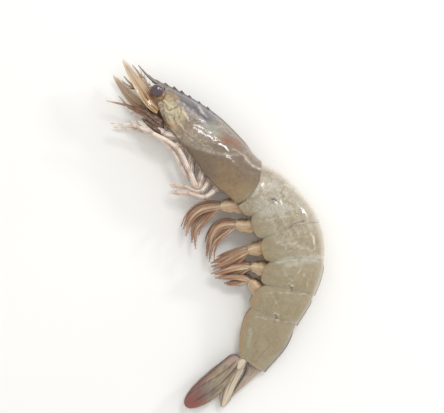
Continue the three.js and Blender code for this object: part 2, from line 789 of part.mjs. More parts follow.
// Tail fan: on each side a short base with an outer and an inner blade.
const FAN_BASE = {
	points: [ [ 138.8, -2.9, 2.3 ], [ 142.5, -3.9, 2.5 ], [ 146.0, -5.8, 2.6 ] ],
	halfWidths: [ 1.5, 1.9, 2.0, 1.4 ],
};
const FAN_OUTER = {
	halfWidth: 4.9, root: 0.5, rightTurn: 0.6,
	points: [ [ 140.8, -6.4, 3.0 ], [ 155, -10.9, 3.5 ], [ 170, -17.8, 3.2 ] ],
};
const FAN_INNER = {
	halfWidth: 2.6, root: 0.5, rightTurn: 0.3,
	points: [ [ 144, -4.6, 1.8 ], [ 153, -4.9, 1.9 ], [ 163.4, -3.8, 1.7 ] ],
};
const FAN_THICKNESS = 0.55;

function fanBase( side, grow = 0 ) {

	const route = routeOf( mirrored( FAN_BASE.points, side ) );
	return limb( route, FAN_BASE.halfWidths.map( ( halfWidth ) => halfWidth + grow ), 5, 8 );

}

function fanBlade( { points, halfWidth, root, rightTurn }, side ) {

	const turn = side > 0 ? 0 : rightTurn;
	const route = mirrored( points, side ).map( ( [ along, back, across ], i ) => {

		return place( along, back + turn * i, across );

	} );
	const form = { halfWidth, thickness: FAN_THICKNESS, root, wave: 0.2, cup: 0.2 * side, steps: 10 };
	const leaf = blade( route, form );
	return rooted( leaf, [ solidFrom( fanBase( side, CUT_GAP ) ), RING_BLOCKS[ 5 ] ] );

}

const shrimp = new THREE.Group();

function add( name, geometry, colour, roughness = 0.35 ) {

	const material = new THREE.MeshStandardMaterial( { color: colour, roughness, metalness: 0 } );
	const mesh = new THREE.Mesh( geometry, material );
	mesh.name = name;
	shrimp.add( mesh );

}

add( 'shield', joined( [ plate( SHIELD_SHELL ), beak() ] ), COLOURS.shield );
add( 'head_front', headFront(), COLOURS.head );
add( 'breast', breast(), COLOURS.head );
RINGS.forEach( ( ring, index ) => {

	add( `abdomen_ring_${ index + 1 }`, plate( ringShell( index ) ), COLOURS.rings );

} );
add( 'telson', telson(), COLOURS.telson );

for ( const { name, side } of SIDES ) {

	add( `eye_${ name }`, eye( side ), COLOURS.eye, 0.12 );
	add( `small_feeler_${ name }`, smallFeeler( name ), COLOURS.feelers );
	add( `feeler_scale_${ name }`, feelerScale( name, side ), COLOURS.scales );
	add( `long_feeler_${ name }`, longFeeler( name ), COLOURS.feelers );
	add( `jaw_leg_${ name }`, jawLeg( side ), COLOURS.legs );
	WALKING_LEGS.forEach( ( leg, index ) => {

		add( `walking_leg_${ name }_${ index + 1 }`, walkingLeg( leg, side ), COLOURS.legs );

	} );
	SWIMMING_LEGS.forEach( ( leg, index ) => {

		add( `swimming_leg_${ name }_${ index + 1 }`, swimmingLeg( index, side ), COLOURS.paddles );

	} );
	add( `fan_base_${ name }`, rooted( fanBase( side ), [ RING_BLOCKS[ 5 ] ] ), COLOURS.fan );
	add( `fan_outer_${ name }`, fanBlade( FAN_OUTER, side ), COLOURS.fan );
	add( `fan_inner_${ name }`, fanBlade( FAN_INNER, side ), COLOURS.fan );

}

export default shrimp;
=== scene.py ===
import math
import random

import bmesh
import bpy
from bpy.props import FloatProperty, FloatVectorProperty, PointerProperty
from mathutils import Matrix, Quaternion, Vector, noise


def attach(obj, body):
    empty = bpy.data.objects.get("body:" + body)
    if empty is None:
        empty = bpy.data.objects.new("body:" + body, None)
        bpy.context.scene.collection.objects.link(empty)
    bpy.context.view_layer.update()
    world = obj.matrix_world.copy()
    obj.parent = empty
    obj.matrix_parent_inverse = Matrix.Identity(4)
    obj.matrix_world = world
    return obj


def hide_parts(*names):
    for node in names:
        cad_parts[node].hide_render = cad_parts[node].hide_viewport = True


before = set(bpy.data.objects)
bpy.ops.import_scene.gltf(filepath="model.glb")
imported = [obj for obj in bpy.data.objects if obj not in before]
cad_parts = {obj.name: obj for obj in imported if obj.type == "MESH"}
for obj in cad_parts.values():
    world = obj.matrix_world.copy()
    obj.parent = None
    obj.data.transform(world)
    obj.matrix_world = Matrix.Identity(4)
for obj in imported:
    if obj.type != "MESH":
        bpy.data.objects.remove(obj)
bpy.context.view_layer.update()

bl_info = {
    "name": "Raw Tiger Shrimp",
    "version": (1, 0, 0),
    "blender": (4, 5, 0),
    "location": "View3D > Sidebar > Shrimp",
    "description": "Builds the shell, limbs and tail fan of a raw shrimp, and its studio",
    "category": "Add Mesh",
}

MM = 0.001
SIDES = {"left": 1, "right": -1}
WHITE, BLACK = (1, 1, 1, 1), (0, 0, 0, 1)

# The body's axis: where the eyes are, the way the head points, and then the head shield
# and six rings, each with its length and its bend in degrees towards the belly.
EYES = Vector((-22.8, 60.2))
HEAD_HEADING = math.radians(-45)
STRETCHES = (
    (52.3, 0), (12.5, 2), (12.4, 16), (14.5, 24), (15.0, 24), (14.6, 9), (20.2, -4),
)
CENTRE_SHIFT = Vector((-0.13, -0.4))

# Half sizes of the body along its axis: (along, size).
BACK = (
    (-2, 5.0), (7, 7.7), (16, 9.8), (25, 11.1), (37, 11.1), (49, 10.6), (58, 12.7),
    (68, 13.8), (80, 14.8), (90, 13.7), (103, 11.2), (117, 9.2), (128, 9.6), (142, 6.7),
)
BELLY = (
    (2, 5.8), (11, 7.2), (22, 8.1), (32, 9.4), (42, 10.4), (53, 9.7), (62, 10.2),
    (76, 12.2), (92, 12.2), (108, 12.8), (118, 12.8), (129, 10.4), (140, 6.6),
)
WIDTH = (
    (-2, 3.4), (4, 5.4), (12, 7.8), (22, 9.6), (34, 10.4), (46, 10.3), (60, 9.5),
    (76, 9.5), (92, 8.9), (106, 7.9), (120, 6.5), (132, 5.3), (142, 4.2),
)

# Where plates meet, as places along the body at the back, the side and the belly.
SHIELD_FRONT = (-1.5, 1.5, 11)
SHIELD_REAR = (49.4, 56.2, 55)
RING_REARS = (
    (67.5, 65.2, 63.2), (80.5, 77.6, 76.8), (92.5, 90.6, 92.2),
    (104.2, 103.8, 107.0), (117.2, 117.6, 120.4), (141.9, 141.0, 139.8),
)
RING_OVERLAP = 0.2
REST_DEPTH = 0.35
SHIELD_HEIGHT_FROM = 34
# A plate's section: 1 makes it elliptical, and less makes it squarer.
BACK_CORNER = 0.95
BELLY_CORNER = 0.6
BELLY_FLATNESS = 0.75
BELLY_FULLNESS = 1.14
BELLY_HOLLOW = 4.4
BELLY_HOLLOW_REACH = 0.62


def linear(text):
    """The linear colour of an sRGB hex value, with full opacity."""
    channels = [int(text[i:i + 2], 16) / 255 for i in (1, 3, 5)]
    return [
        channel / 12.92 if channel <= 0.04045 else ((channel + 0.055) / 1.055) ** 2.4
        for channel in channels
    ] + [1.0]


def smooth(low, high, value):
    """0 below low, 1 above high, and a soft step between."""
    share = min(1.0, max(0.0, (value - low) / (high - low)))
    return share * share * (3 - 2 * share)


def bell(distance, width):
    """1 at no distance, and falling off to both sides within about twice the width."""
    return math.exp(-((distance / width) ** 2))


def between(value, rise, fall):
    """1 between two soft steps: up over one range of values, and down over another."""
    return smooth(*rise, value) * (1 - smooth(*fall, value))


def rounded(share):
    """The half width of a round end, at a share of the way in from its tip."""
    return math.sqrt(max(0.0, 1 - (1 - min(1.0, share)) ** 2))


def mix(start, end, share):
    """The value at a share of the way from start to end."""
    return start + (end - start) * share


def smooth_value(stations, position):
    """A smooth curve through (position, value) pairs, a cubic from each to the next."""
    last = len(stations) - 1
    index = 0
    while index < last - 1 and position > stations[index + 1][0]:
        index += 1

    def slope(i):
        low, high = stations[max(0, i - 1)], stations[min(last, i + 1)]
        return (high[1] - low[1]) / (high[0] - low[0])

    (start, first), (end, second) = stations[index], stations[index + 1]
    span = end - start
    t = min(1.0, max(0.0, (position - start) / span))
    ease = t * t * (3 - 2 * t)
    pull = slope(index) * t * (1 - t) ** 2 - slope(index + 1) * t * t * (1 - t)
    return first + (second - first) * ease + span * pull


def axis_at(along):
    """The axis point and heading at a place along the body."""
    x, y = EYES
    heading = HEAD_HEADING
    left = along
    for length, bend in STRETCHES:
        if left <= 0:
            break
        step = min(left, length)
        turn = -math.radians(bend) * step / length
        chord = step if turn == 0 else step * math.sin(turn / 2) / (turn / 2)
        x += chord * math.cos(heading + turn / 2)
        y += chord * math.sin(heading + turn / 2)
        heading += turn
        left -= step
    if left > 0 or along < 0:
        x += left * math.cos(heading)
        y += left * math.sin(heading)
    return Vector((x, y)) + CENTRE_SHIFT, heading


def middle_height(along):
    """Height of the body's middle plane: each stretch of the body lies on the ground."""
    return smooth_value(WIDTH, max(along, SHIELD_HEIGHT_FROM)) - REST_DEPTH


def place(along, back, side):
    """A place on the body in the frame's own directions, still in millimetres."""
    point, heading = axis_at(along)
    return Vector((
        point.x - back * math.sin(heading),
        point.y + back * math.cos(heading),
        max(0.0, middle_height(along) + side),
    ))


def edge_at(edge, height):
    """Where a plate's edge is along the body, at a height from -1 (belly) to 1 (back)."""
    at_back, at_side, at_belly = edge
    slant = (at_back - at_belly) / 2
    bow = (at_back + at_belly) / 2 - at_side
    return at_side + slant * height + bow * height * height


def shift_edge(edge, shift):
    """A plate's edge, moved along the body."""
    return tuple(position + shift for position in edge)


def section_shares(angle):
    """Shares of the side and height round a plate's section: fuller below than above."""
    across = abs(math.cos(angle))
    up = math.sin(angle)
    belly = up < 0
    side = -math.copysign(across ** (BELLY_CORNER if belly else BACK_CORNER), math.cos(angle))
    return side, (-BELLY_FULLNESS * abs(up) ** BELLY_FLATNESS if belly else up)


def hollow_depth(side):
    """How far the belly is hollowed between the lower flaps, at a share of the side."""
    if abs(side) >= BELLY_HOLLOW_REACH:
        return 0.0
    return BELLY_HOLLOW * (1 - (side / BELLY_HOLLOW_REACH) ** 2)


def even_angles(samples=1440):
    """Angles that are evenly spaced along a typical section, instead of round it."""
    width, back, belly = 9.5, 12, 11.5
    points = []
    for i in range(samples + 1):
        side, height = section_shares(2 * math.pi * i / samples)
        low = height < 0
        points.append(Vector((
            side * width,
            height * (belly if low else back) + (hollow_depth(side) if low else 0),
        )))
    lengths = [0.0]
    for before, after in zip(points, points[1:]):
        lengths.append(lengths[-1] + (after - before).length)
    angles = []
    index = 0
    for i in range(samples + 1):
        wanted = lengths[-1] * i / samples
        while index < samples - 1 and lengths[index + 1] < wanted:
            index += 1
        share = (wanted - lengths[index]) / (lengths[index + 1] - lengths[index])
        angles.append(2 * math.pi * (index + share) / samples)
    return angles


EVEN_ANGLES = even_angles()


def even_angle(turn):
    """The section angle at a share of the way round, from 0 to 1."""
    spot = turn * (len(EVEN_ANGLES) - 1)
    index = min(len(EVEN_ANGLES) - 2, int(spot))
    return mix(EVEN_ANGLES[index], EVEN_ANGLES[index + 1], spot - index)


class Route:
    """A smooth curve through points, walked by the share of its length."""

    STEPS = 24

    def __init__(self, points):
        ends = [2 * points[0] - points[1], *points, 2 * points[-1] - points[-2]]
        self.points = [points[0].copy()]
        for p0, p1, p2, p3 in zip(ends, ends[1:], ends[2:], ends[3:]):
            gaps = [max((b - a).length, 1e-6) ** 0.5 for a, b in ((p0, p1), (p1, p2), (p2, p3))]
            leave = (p1 - p0) / gaps[0] - (p2 - p0) / (gaps[0] + gaps[1]) + (p2 - p1) / gaps[1]
            arrive = (p2 - p1) / gaps[1] - (p3 - p1) / (gaps[1] + gaps[2]) + (p3 - p2) / gaps[2]
            leave, arrive = leave * gaps[1], arrive * gaps[1]
            for i in range(1, self.STEPS + 1):
                t = i / self.STEPS
                self.points.append(
                    p1 + leave * t + (3 * (p2 - p1) - 2 * leave - arrive) * t ** 2
                    + (2 * (p1 - p2) + leave + arrive) * t ** 3
                )
        self.lengths = [0.0]
        for before, after in zip(self.points, self.points[1:]):
            self.lengths.append(self.lengths[-1] + (after - before).length)
        self.length = self.lengths[-1]
        self.knots = [
            self.lengths[i * self.STEPS] / self.length for i in range(len(points))
        ]

    def at(self, share):
        """The point and the direction at a share of the length."""
        wanted = min(1.0, max(0.0, share)) * self.length
        index = 0
        while index < len(self.lengths) - 2 and self.lengths[index + 1] < wanted:
            index += 1
        before, after = self.points[index], self.points[index + 1]
        part = (wanted - self.lengths[index]) / (self.lengths[index + 1] - self.lengths[index])
        near = self.points[max(0, index - 1)]
        far = self.points[min(len(self.points) - 1, index + 2)]
        turned = (after - near).normalized().lerp((far - before).normalized(), part)
        return before.lerp(after, part), turned.normalized()


LIMB_CLEARANCE = 0.6


def body_route(points, side=1, sag=0.0):
    """A route through places on the body, which sags towards its far end."""
    spots = []
    for index, (along, back, across) in enumerate(points):
        spot = place(along, back, across * side)
        share = index / (len(points) - 1)
        spot.z = max(LIMB_CLEARANCE, spot.z - sag * share * share)
        spots.append(spot)
    return Route(spots)


# Attributes on a piece's points: where it is on its own pattern in millimetres, and how
# much of each mark or stain it bears.
PATTERN = "pattern"


def new_mesh(marks):
    """An empty mesh whose points hold a place on the pattern and an amount of each mark."""
    bm = bmesh.new()
    bm.verts.layers.float_vector.new(PATTERN)
    for name in marks:
        bm.verts.layers.float.new(name)
    return bm


def add_skin(bm, columns, rows, shape, material=0):
    """A closed skin: a globe whose circles are moved to shape(share of the rows, share of
    the way round), which gives a point, its place on the pattern and its marks."""
    globe = bmesh.ops.create_uvsphere(bm, u_segments=columns, v_segments=rows, radius=1)
    pattern = bm.verts.layers.float_vector[PATTERN]
    for vert in globe["verts"]:
        row = round(math.acos(max(-1.0, min(1.0, vert.co.z))) / math.pi * rows) / rows
        turn = (math.atan2(vert.co.y, vert.co.x) / (2 * math.pi)) % 1.0
        vert.co, vert[pattern], marks = shape(row, turn)
        for name, amount in marks.items():
            vert[bm.verts.layers.float[name]] = amount
    for face in {face for vert in globe["verts"] for face in vert.link_faces}:
        face.material_index = material


def limb_frame(tangent):
    """Two directions across a limb: level, and upwards."""
    steep = abs(tangent.z) > 0.9
    level = Vector((1, 0, 0) if steep else (0, 0, 1)).cross(tangent).normalized()
    return level, tangent.cross(level)


def listed(values, share):
    """The value at a share of the way through a list, in straight steps."""
    spot = min(1.0, max(0.0, share)) * (len(values) - 1)
    index = min(len(values) - 2, int(spot))
    return mix(values[index], values[index + 1], spot - index)


LUMP_MM = 1.9


def add_limb(
    bm, route, radius, columns, step=0.45, flatness=1.0, lumps=0.0, material=0, marks=None,
):
    """A limb along a route: radius(share) is its half width, and marks(share, level) what
    its points bear."""
    rows = max(8, round(route.length / step))

    def shape(row, turn):
        centre, tangent = route.at(row)
        level, upward = limb_frame(tangent)
        size = radius(row)
        size *= rounded(min(row, 1 - row) * route.length / size)
        angle = 2 * math.pi * turn
        outward = level * math.cos(angle) + upward * math.sin(angle)
        size *= 1 + lumps * noise.noise((centre + outward * size) / LUMP_MM)
        point = centre + outward * size
        point.z = max(0.0, centre.z + (point.z - centre.z) * flatness)
        pattern = Vector((row * route.length, size * math.cos(angle), size * math.sin(angle)))
        return point, pattern, marks(row, math.cos(angle)) if marks else {}

    add_skin(bm, columns, rows, shape, material)


# A limb swells before each joint and narrows after it: how far from the joint, over what
# reach, both as shares of the limb's length, and by how much of its width.
JOINT_SWELLINGS = ((-0.016, 0.018, 0.05), (0.012, 0.012, -0.065))


def jointed(widths, joints):
    """Half widths along a limb whose segments widen before each joint and narrow after."""

    def radius(share):
        size = listed(widths, share)
        for joint in joints:
            for beyond, reach, swelling in JOINT_SWELLINGS:
                size *= 1 + swelling * bell(share - joint - beyond, reach)
        return size

    return radius


def joint_marks(joints):
    """Marks of a limb: darker at its joints, and lighter towards its tip."""
    return lambda share, level: {
        "joint": max(bell(share - joint - 0.01, 0.03) for joint in joints), "tip": share * 0.6,
    }


def blade_frame(route, form, share):
    """The centre, direction, half width and two cross directions at a place on a blade."""
    centre, tangent = route.at(share)
    across = Vector((0, 0, 1)).cross(tangent).normalized()
    across.rotate(Quaternion(tangent, form.get("tilt", 0.0) + form.get("twist", 0.0) * share))
    widest, root = form["widest"], form["root"]
    if share < widest:
        spread = root + (1 - root) * math.sin(math.pi / 2 * share / widest)
    else:
        spread = max(0.0, 1 - ((share - widest) / (1 - widest)) ** 2) ** form.get("taper", 0.5)
    if "round" in form:
        spread *= rounded(share / form["round"])
    return centre, tangent, form["half_width"] * spread, across, tangent.cross(across)


# Where along a blade its ribs and lines rise and fade, and where a dusky one's rear half
# turns the colour of its tip.
RIB_SPAN = ((0, 0.1), (0.75, 1))
LINE_SPAN = ((0.02, 0.1), (0.8, 0.98))
DUSK_TIP = {"strength": 0.6, "across": (0.3, 0.9), "along": (0.15, 0.5)}


def add_blade(bm, route, form, columns, step=0.45):
    """A thin blade along a route, with ribs and a little wave. Its marks are its edges, tip,
    ribs and lines, and where its form asks for them a dusky middle, a pale base on one side
    and the skin over its root."""
    rows = max(10, round(route.length / step))
    thickness = form["thickness"]

    def shape(row, turn):
        centre, _, width, across, normal = blade_frame(route, form, row)
        angle = 2 * math.pi * turn
        share = math.cos(angle)
        face = math.sin(angle)
        lift = face * thickness / 2
        ribbed = abs(face) ** 0.5 * between(row, *RIB_SPAN)
        lined = between(row, *LINE_SPAN)
        rim = max(0.0, -share) if form.get("one_edge") else abs(share)
        marks = {
            "edge": rim ** form.get("edge", 4), "rib": 0.0,
            "tip": max(form.get("shade", 0.0), smooth(form.get("tip_from", 0.0), 1.0, row)),
        }
        for rib, height, reach in form.get("ribs", ()):
            near = bell((share - rib) * width, reach)
            lift += math.copysign(height, face) * near * ribbed
            marks["rib"] = max(marks["rib"], near)
        for start, end, reach in form.get("lines", ()):
            dark = lined * bell((share - mix(start, end, row)) * width, reach)
            marks["line"] = max(marks.get("line", 0.0), dark)
        lift += form.get("wave", 0.0) * math.sin(2 * math.pi * row) * share
        lift += form.get("cup", 0.0) * share * share
        point = centre + across * share * width + normal * lift
        point.z = max(0.0, point.z)
        if "dusk" in form:
            marks["dusk"] = smooth(*form["dusk"], row) * (1 - share * share)
            rear = smooth(*DUSK_TIP["across"], -share) * smooth(*DUSK_TIP["along"], row)
            marks["tip"] = max(marks["tip"], DUSK_TIP["strength"] * rear)
        if "cream" in form:
            marks["base"] = smooth(form["cream"] - 0.3, form["cream"] + 0.3, share)
        if "skin" in form:
            marks["skin"] = 1 - smooth(0.5 * form["skin"], 1.3 * form["skin"], row + 0.1 * share)
        return point, Vector((row * route.length, share * width, face * thickness)), marks

    add_skin(bm, columns, rows, shape)


# Hairs take a piece's second material. They lean towards its tip, and more so near it.
HAIR_MATERIAL = 1
HAIR_LEAN = 0.55
TIP_LEAN = 1.6
TIP_LEAN_SPAN = (0.7, 1.0)
HAIR_LEANS = (-0.15, 0.15)
HAIR_RISES = (-0.1, 0.1)
HAIR_LENGTHS = (0.75, 1.15)
HAIR_ROOT = 0.96


def add_hair(bm, root, direction, length, thickness):
    """One tapered hair."""
    turn = direction.to_track_quat("Z", "Y").to_matrix().to_4x4()
    spot = Matrix.Translation(root + direction * length / 2) @ turn
    hair = bmesh.ops.create_cone(
        bm, cap_ends=True, segments=3, radius1=thickness / 2, radius2=thickness / 8,
        depth=length, matrix=spot,
    )
    for face in {face for vert in hair["verts"] for face in vert.link_faces}:
        face.material_index = HAIR_MATERIAL


def add_fringe(bm, route, form, sizes, rng, reach, edges=(-1, 1), spacing=0.42):
    """Hairs along the edges of a blade, between two shares of its length."""
    count = max(6, int(route.length * (reach[1] - reach[0]) / spacing))
    for edge in edges:
        for i in range(count):
            share = mix(*reach, (i + 0.5) / count)
            centre, tangent, width, across, normal = blade_frame(route, form, share)
            lean = HAIR_LEAN + TIP_LEAN * smooth(*TIP_LEAN_SPAN, share)
            lean += rng.uniform(*HAIR_LEANS)
            direction = (across * edge + tangent * lean).normalized()
            direction.z += rng.uniform(*HAIR_RISES)
            length = sizes.hair / MM * form.get("hair", 1.0) * rng.uniform(*HAIR_LENGTHS)
            root = centre + across * edge * width * HAIR_ROOT + normal * form.get("cup", 0.0)
            add_hair(bm, root, direction.normalized(), length, sizes.hair_width / MM)


def finish_piece(bm, name, nodes, materials):
    """Turns a mesh in millimetres into a finished piece that stands for CAD nodes."""
    for vert in bm.verts:
        vert.co.z = max(0.0, vert.co.z)
    bmesh.ops.recalc_face_normals(bm, faces=bm.faces)
    bmesh.ops.scale(bm, vec=(MM, MM, MM), verts=bm.verts)
    mesh = bpy.data.meshes.new(name)
    bm.to_mesh(mesh)
    bm.free()
    mesh.shade_smooth()
    for material in materials:
        mesh.materials.append(material)
    piece = bpy.data.objects.new(name, mesh)
    bpy.context.scene.collection.objects.link(piece)
    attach(piece, "root")
    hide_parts(*nodes)


def measure(name, description, default, least=0.0):
    """A size in millimetres that a user can change."""
    return FloatProperty(
        name=name, description=description, default=default * MM, min=least * MM, unit="LENGTH",
    )


class ShrimpSizes(bpy.types.PropertyGroup):
    """Sizes of the relief and trimmings. The form of the body is the frame's own."""

    ridge: measure("Ridge height", "How far the ridge on each side of the shield stands up", 0.45)
    groove: measure("Groove depth", "How deep the grooves in the shield are", 0.4)
    tooth: measure("Tooth height", "How far the beak's upper teeth stand up", 0.75)
    keel: measure("Keel height", "How far the keel stands up on the rear rings", 0.5)
    eye: measure("Eye radius", "Radius of each eye", 2.95, 0.5)
    hair: measure("Hair length", "Length of the hairs on the fringes", 1.7, 0.1)
    hair_width: measure("Hair width", "Width of a hair at its root", 0.17, 0.02)


# The colours that a user can change: their sRGB values and what they are.
COLOURS = {
    "shield": ("#9a9081", "Upper side of the head shield"),
    "shield_shade": ("#83776a", "Darker clouds in the head shield"),
    "tan": ("#a5835c", "Tan tinge low on the front of the shield"),
    "bronze": ("#7f6c59", "Brown flesh under the upper rear of the shield"),
    "sage": ("#a3ab9c", "Grey-green patch on the front of the shield"),
    "slate": ("#6b686e", "Blue-grey bloom on the front of the shield"),
    "lilac": ("#aaa3b0", "Lilac sheen under the beak"),
    "gill": ("#6f5a42", "Brown gills seen through the shield"),
    "warm": ("#a5865c", "Warmer brown low in the gills"),
    "red": ("#97563f", "Red spot under the shield"),
    "amber": ("#bd935c", "Orange tan lines on the shield"),
    "cheek": ("#ddd2a4", "Pale yellow folds of the cheek"),
    "yellow": ("#d3c6a6", "Yellow fat behind the feelers and under the head"),
    "muscle": ("#5b3c30", "Red-brown muscle under the head"),
    "ring": ("#b4aa9a", "Flesh seen through the shell of the rings"),
    "ring_green": ("#958b72", "Greener clouds in the rings"),
    "olive": ("#968765", "Olive tan of the rear rings and of the belly side"),
    "pink": ("#a08d7e", "Pinkish tinge towards the back"),
    "bloom": ("#bfbdb3", "Broad bluish bloom in the rings"),
    "haze": ("#c3c1b3", "Pale haze where plates overlap"),
    "sun": ("#b59b66", "Light through the lower edge of the rings"),
    "gold": ("#b08440", "Orange tan edges of the rings"),
    "keel": ("#20181a", "Dark line along the back of the rings"),
    "dark": ("#3b3033", "Dark lines along the back, edges and hinges"),
    "brown": ("#5d4636", "Brown edges and wet hollows"),
    # Pale also paints highlights: partly the line along the shield's ridge, and strokes high on
    # rings 2 and 3.
    "pale": ("#e6dfd3", "Pale lines where the shell is thick"),
    "eye": ("#524249", "Cornea of the eyes"),
    "eye_shade": ("#4a3a44", "Darker clouds in the eyes"),
    "eye_facets": ("#6d5c66", "Purple bloom on the facets of the eyes"),
    "feeler": ("#ad8858", "Orange tan feelers and eye stalks"),
    "feeler_shade": ("#6c4530", "Red-brown parts of the feelers"),
    "leaf": ("#9a6c38", "Scales beside the feelers"),
    "leaf_light": ("#bd9a68", "Lighter clouds in the scales"),
    "leaf_edge": ("#d6c69a", "Pale, nearly clear edges of the scales"),
    "leaf_rib": ("#d9cca6", "Pale ribs of the scales"),
    "leg": ("#f5ede3", "Pinkish white legs"),
    "leg_flesh": ("#e6d2c3", "Pinker flesh in the legs"),
    "leg_shade": ("#a58b7a", "Tan joints and undersides of the legs"),
    "leg_line": ("#8f7068", "Dark lines along the legs"),
    "paddle": ("#bb9673", "Swimming legs"),
    "paddle_light": ("#d9c6a4", "Lighter clouds in the swimming legs"),
    "paddle_stem": ("#b9a07f", "Stems of the swimming legs"),
    "paddle_rib": ("#e6d9bd", "Pale ribs of the swimming legs"),
    "paddle_tip": ("#8a5644", "Red-brown tips of the swimming legs"),
    "paddle_shade": ("#744630", "Dark edges of the swimming legs"),
    "spike": ("#bcab99", "Spike of the tail fan"),
    "spike_shade": ("#a39281", "Darker clouds in the spike"),
    "fan": ("#7c6c5c", "Blades of the tail fan"),
    "fan_dusk": ("#69585a", "Dusky middle of the fan's outer blades"),
    "fan_tip": ("#864a45", "Maroon tips of the tail fan"),
    "fan_pale": ("#a1937c", "Paler parts of the tail fan"),
    "fan_line": ("#493832", "Dark lines along the fan's blades"),
    "fan_skin": ("#a89186", "Skin over the roots of the outer blades"),
    "cream": ("#d6c8b0", "Cream skin at the root of the tail fan"),
    "hair": ("#a8856a", "Hairs of the fringes"),
    "floor": ("#fdfdfc", "Studio floor"),
    "floor_shade": ("#f1f1ef", "Slightly darker clouds in the floor"),
}


class ShrimpColours(bpy.types.PropertyGroup):
    """Colours of the raw shell, flesh and limbs."""

    __annotations__ = {
        key: FloatVectorProperty(
            name=key.replace("_", " ").capitalize(), description=description,
            default=linear(code), size=4, min=0, max=1, subtype="COLOR",
        )
        for key, (code, description) in COLOURS.items()
    }


def add_node(tree, kind, settings=None, inputs=()):
    """Adds a node with its settings, and sets or links its inputs: the first ones in their
    order, or some by name or number. A node stands for its first output."""
    node = tree.nodes.new(kind)
    for name, value in (settings or {}).items():
        setattr(node, name, value)
    for key, value in inputs.items() if isinstance(inputs, dict) else enumerate(inputs):
        if isinstance(value, bpy.types.Node):
            value = value.outputs[0]
        if isinstance(value, bpy.types.NodeSocket):
            tree.links.new(value, node.inputs[key])
        else:
            node.inputs[key].default_value = value
    return node


# A Mix node's sockets for colours, and the settings that several nodes share.
MIX_SHARE, MIX_UNDER, MIX_OVER, MIX_RESULT = 0, 6, 7, 2
MIX_COLOURS = {"data_type": "RGBA"}
SOFT_STEP = {"interpolation_type": "SMOOTHSTEP"}
# The noises of a wet surface: the value that gives each its size in millimetres, and how it
# is made. The fray is that of the marks' edges, and the grain is that of shell and skin,
# drawn coarser than it is so that it shows.
NOISES = {
    "clouds": ("clouds_mm", {"Detail": 5.0, "Roughness": 0.6, "Distortion": 0.8}),
    "fray": ("fray_mm", {"Detail": 6.0, "Roughness": 0.7}),
    "blooms": ("bloom_mm", {"Detail": 2.0}),
    "folds": ("veins_mm", {"Detail": 3.0, "Roughness": 0.5, "Distortion": 1.2}),
    "ripples": ("ripple_mm", {"Detail": 2.0}),
    "grain": ("grain_mm", {"Detail": 2.0}),
}
VEIN_WIDTH = 0.045
# Shell and skin over wet flesh, under a thin film of water.
SHELL_IOR, WATER_IOR = 1.45, 1.35
FLESH_RADIUS = (1.0, 0.75, 0.55)
WATER_ROUGHNESS = 0.08
LOOK = {
    "clouds_mm": 5.0, "bloom": 0.0, "bloom_mm": 11.0, "bloom_colour": WHITE,
    "veins": 0.0, "veins_mm": 4.0, "vein_colour": WHITE,
    "specks": 0.0, "specks_mm": 0.8, "speck_colour": BLACK,
    "roughness": 0.3, "coat": 0.7, "flesh": 0.3, "depth": 1.4, "bump": 0.1,
    "ripple": 0.1, "ripple_mm": 2.2, "fray_mm": 2.2, "grain_mm": 0.35, "stretch": (1, 1, 1),
}


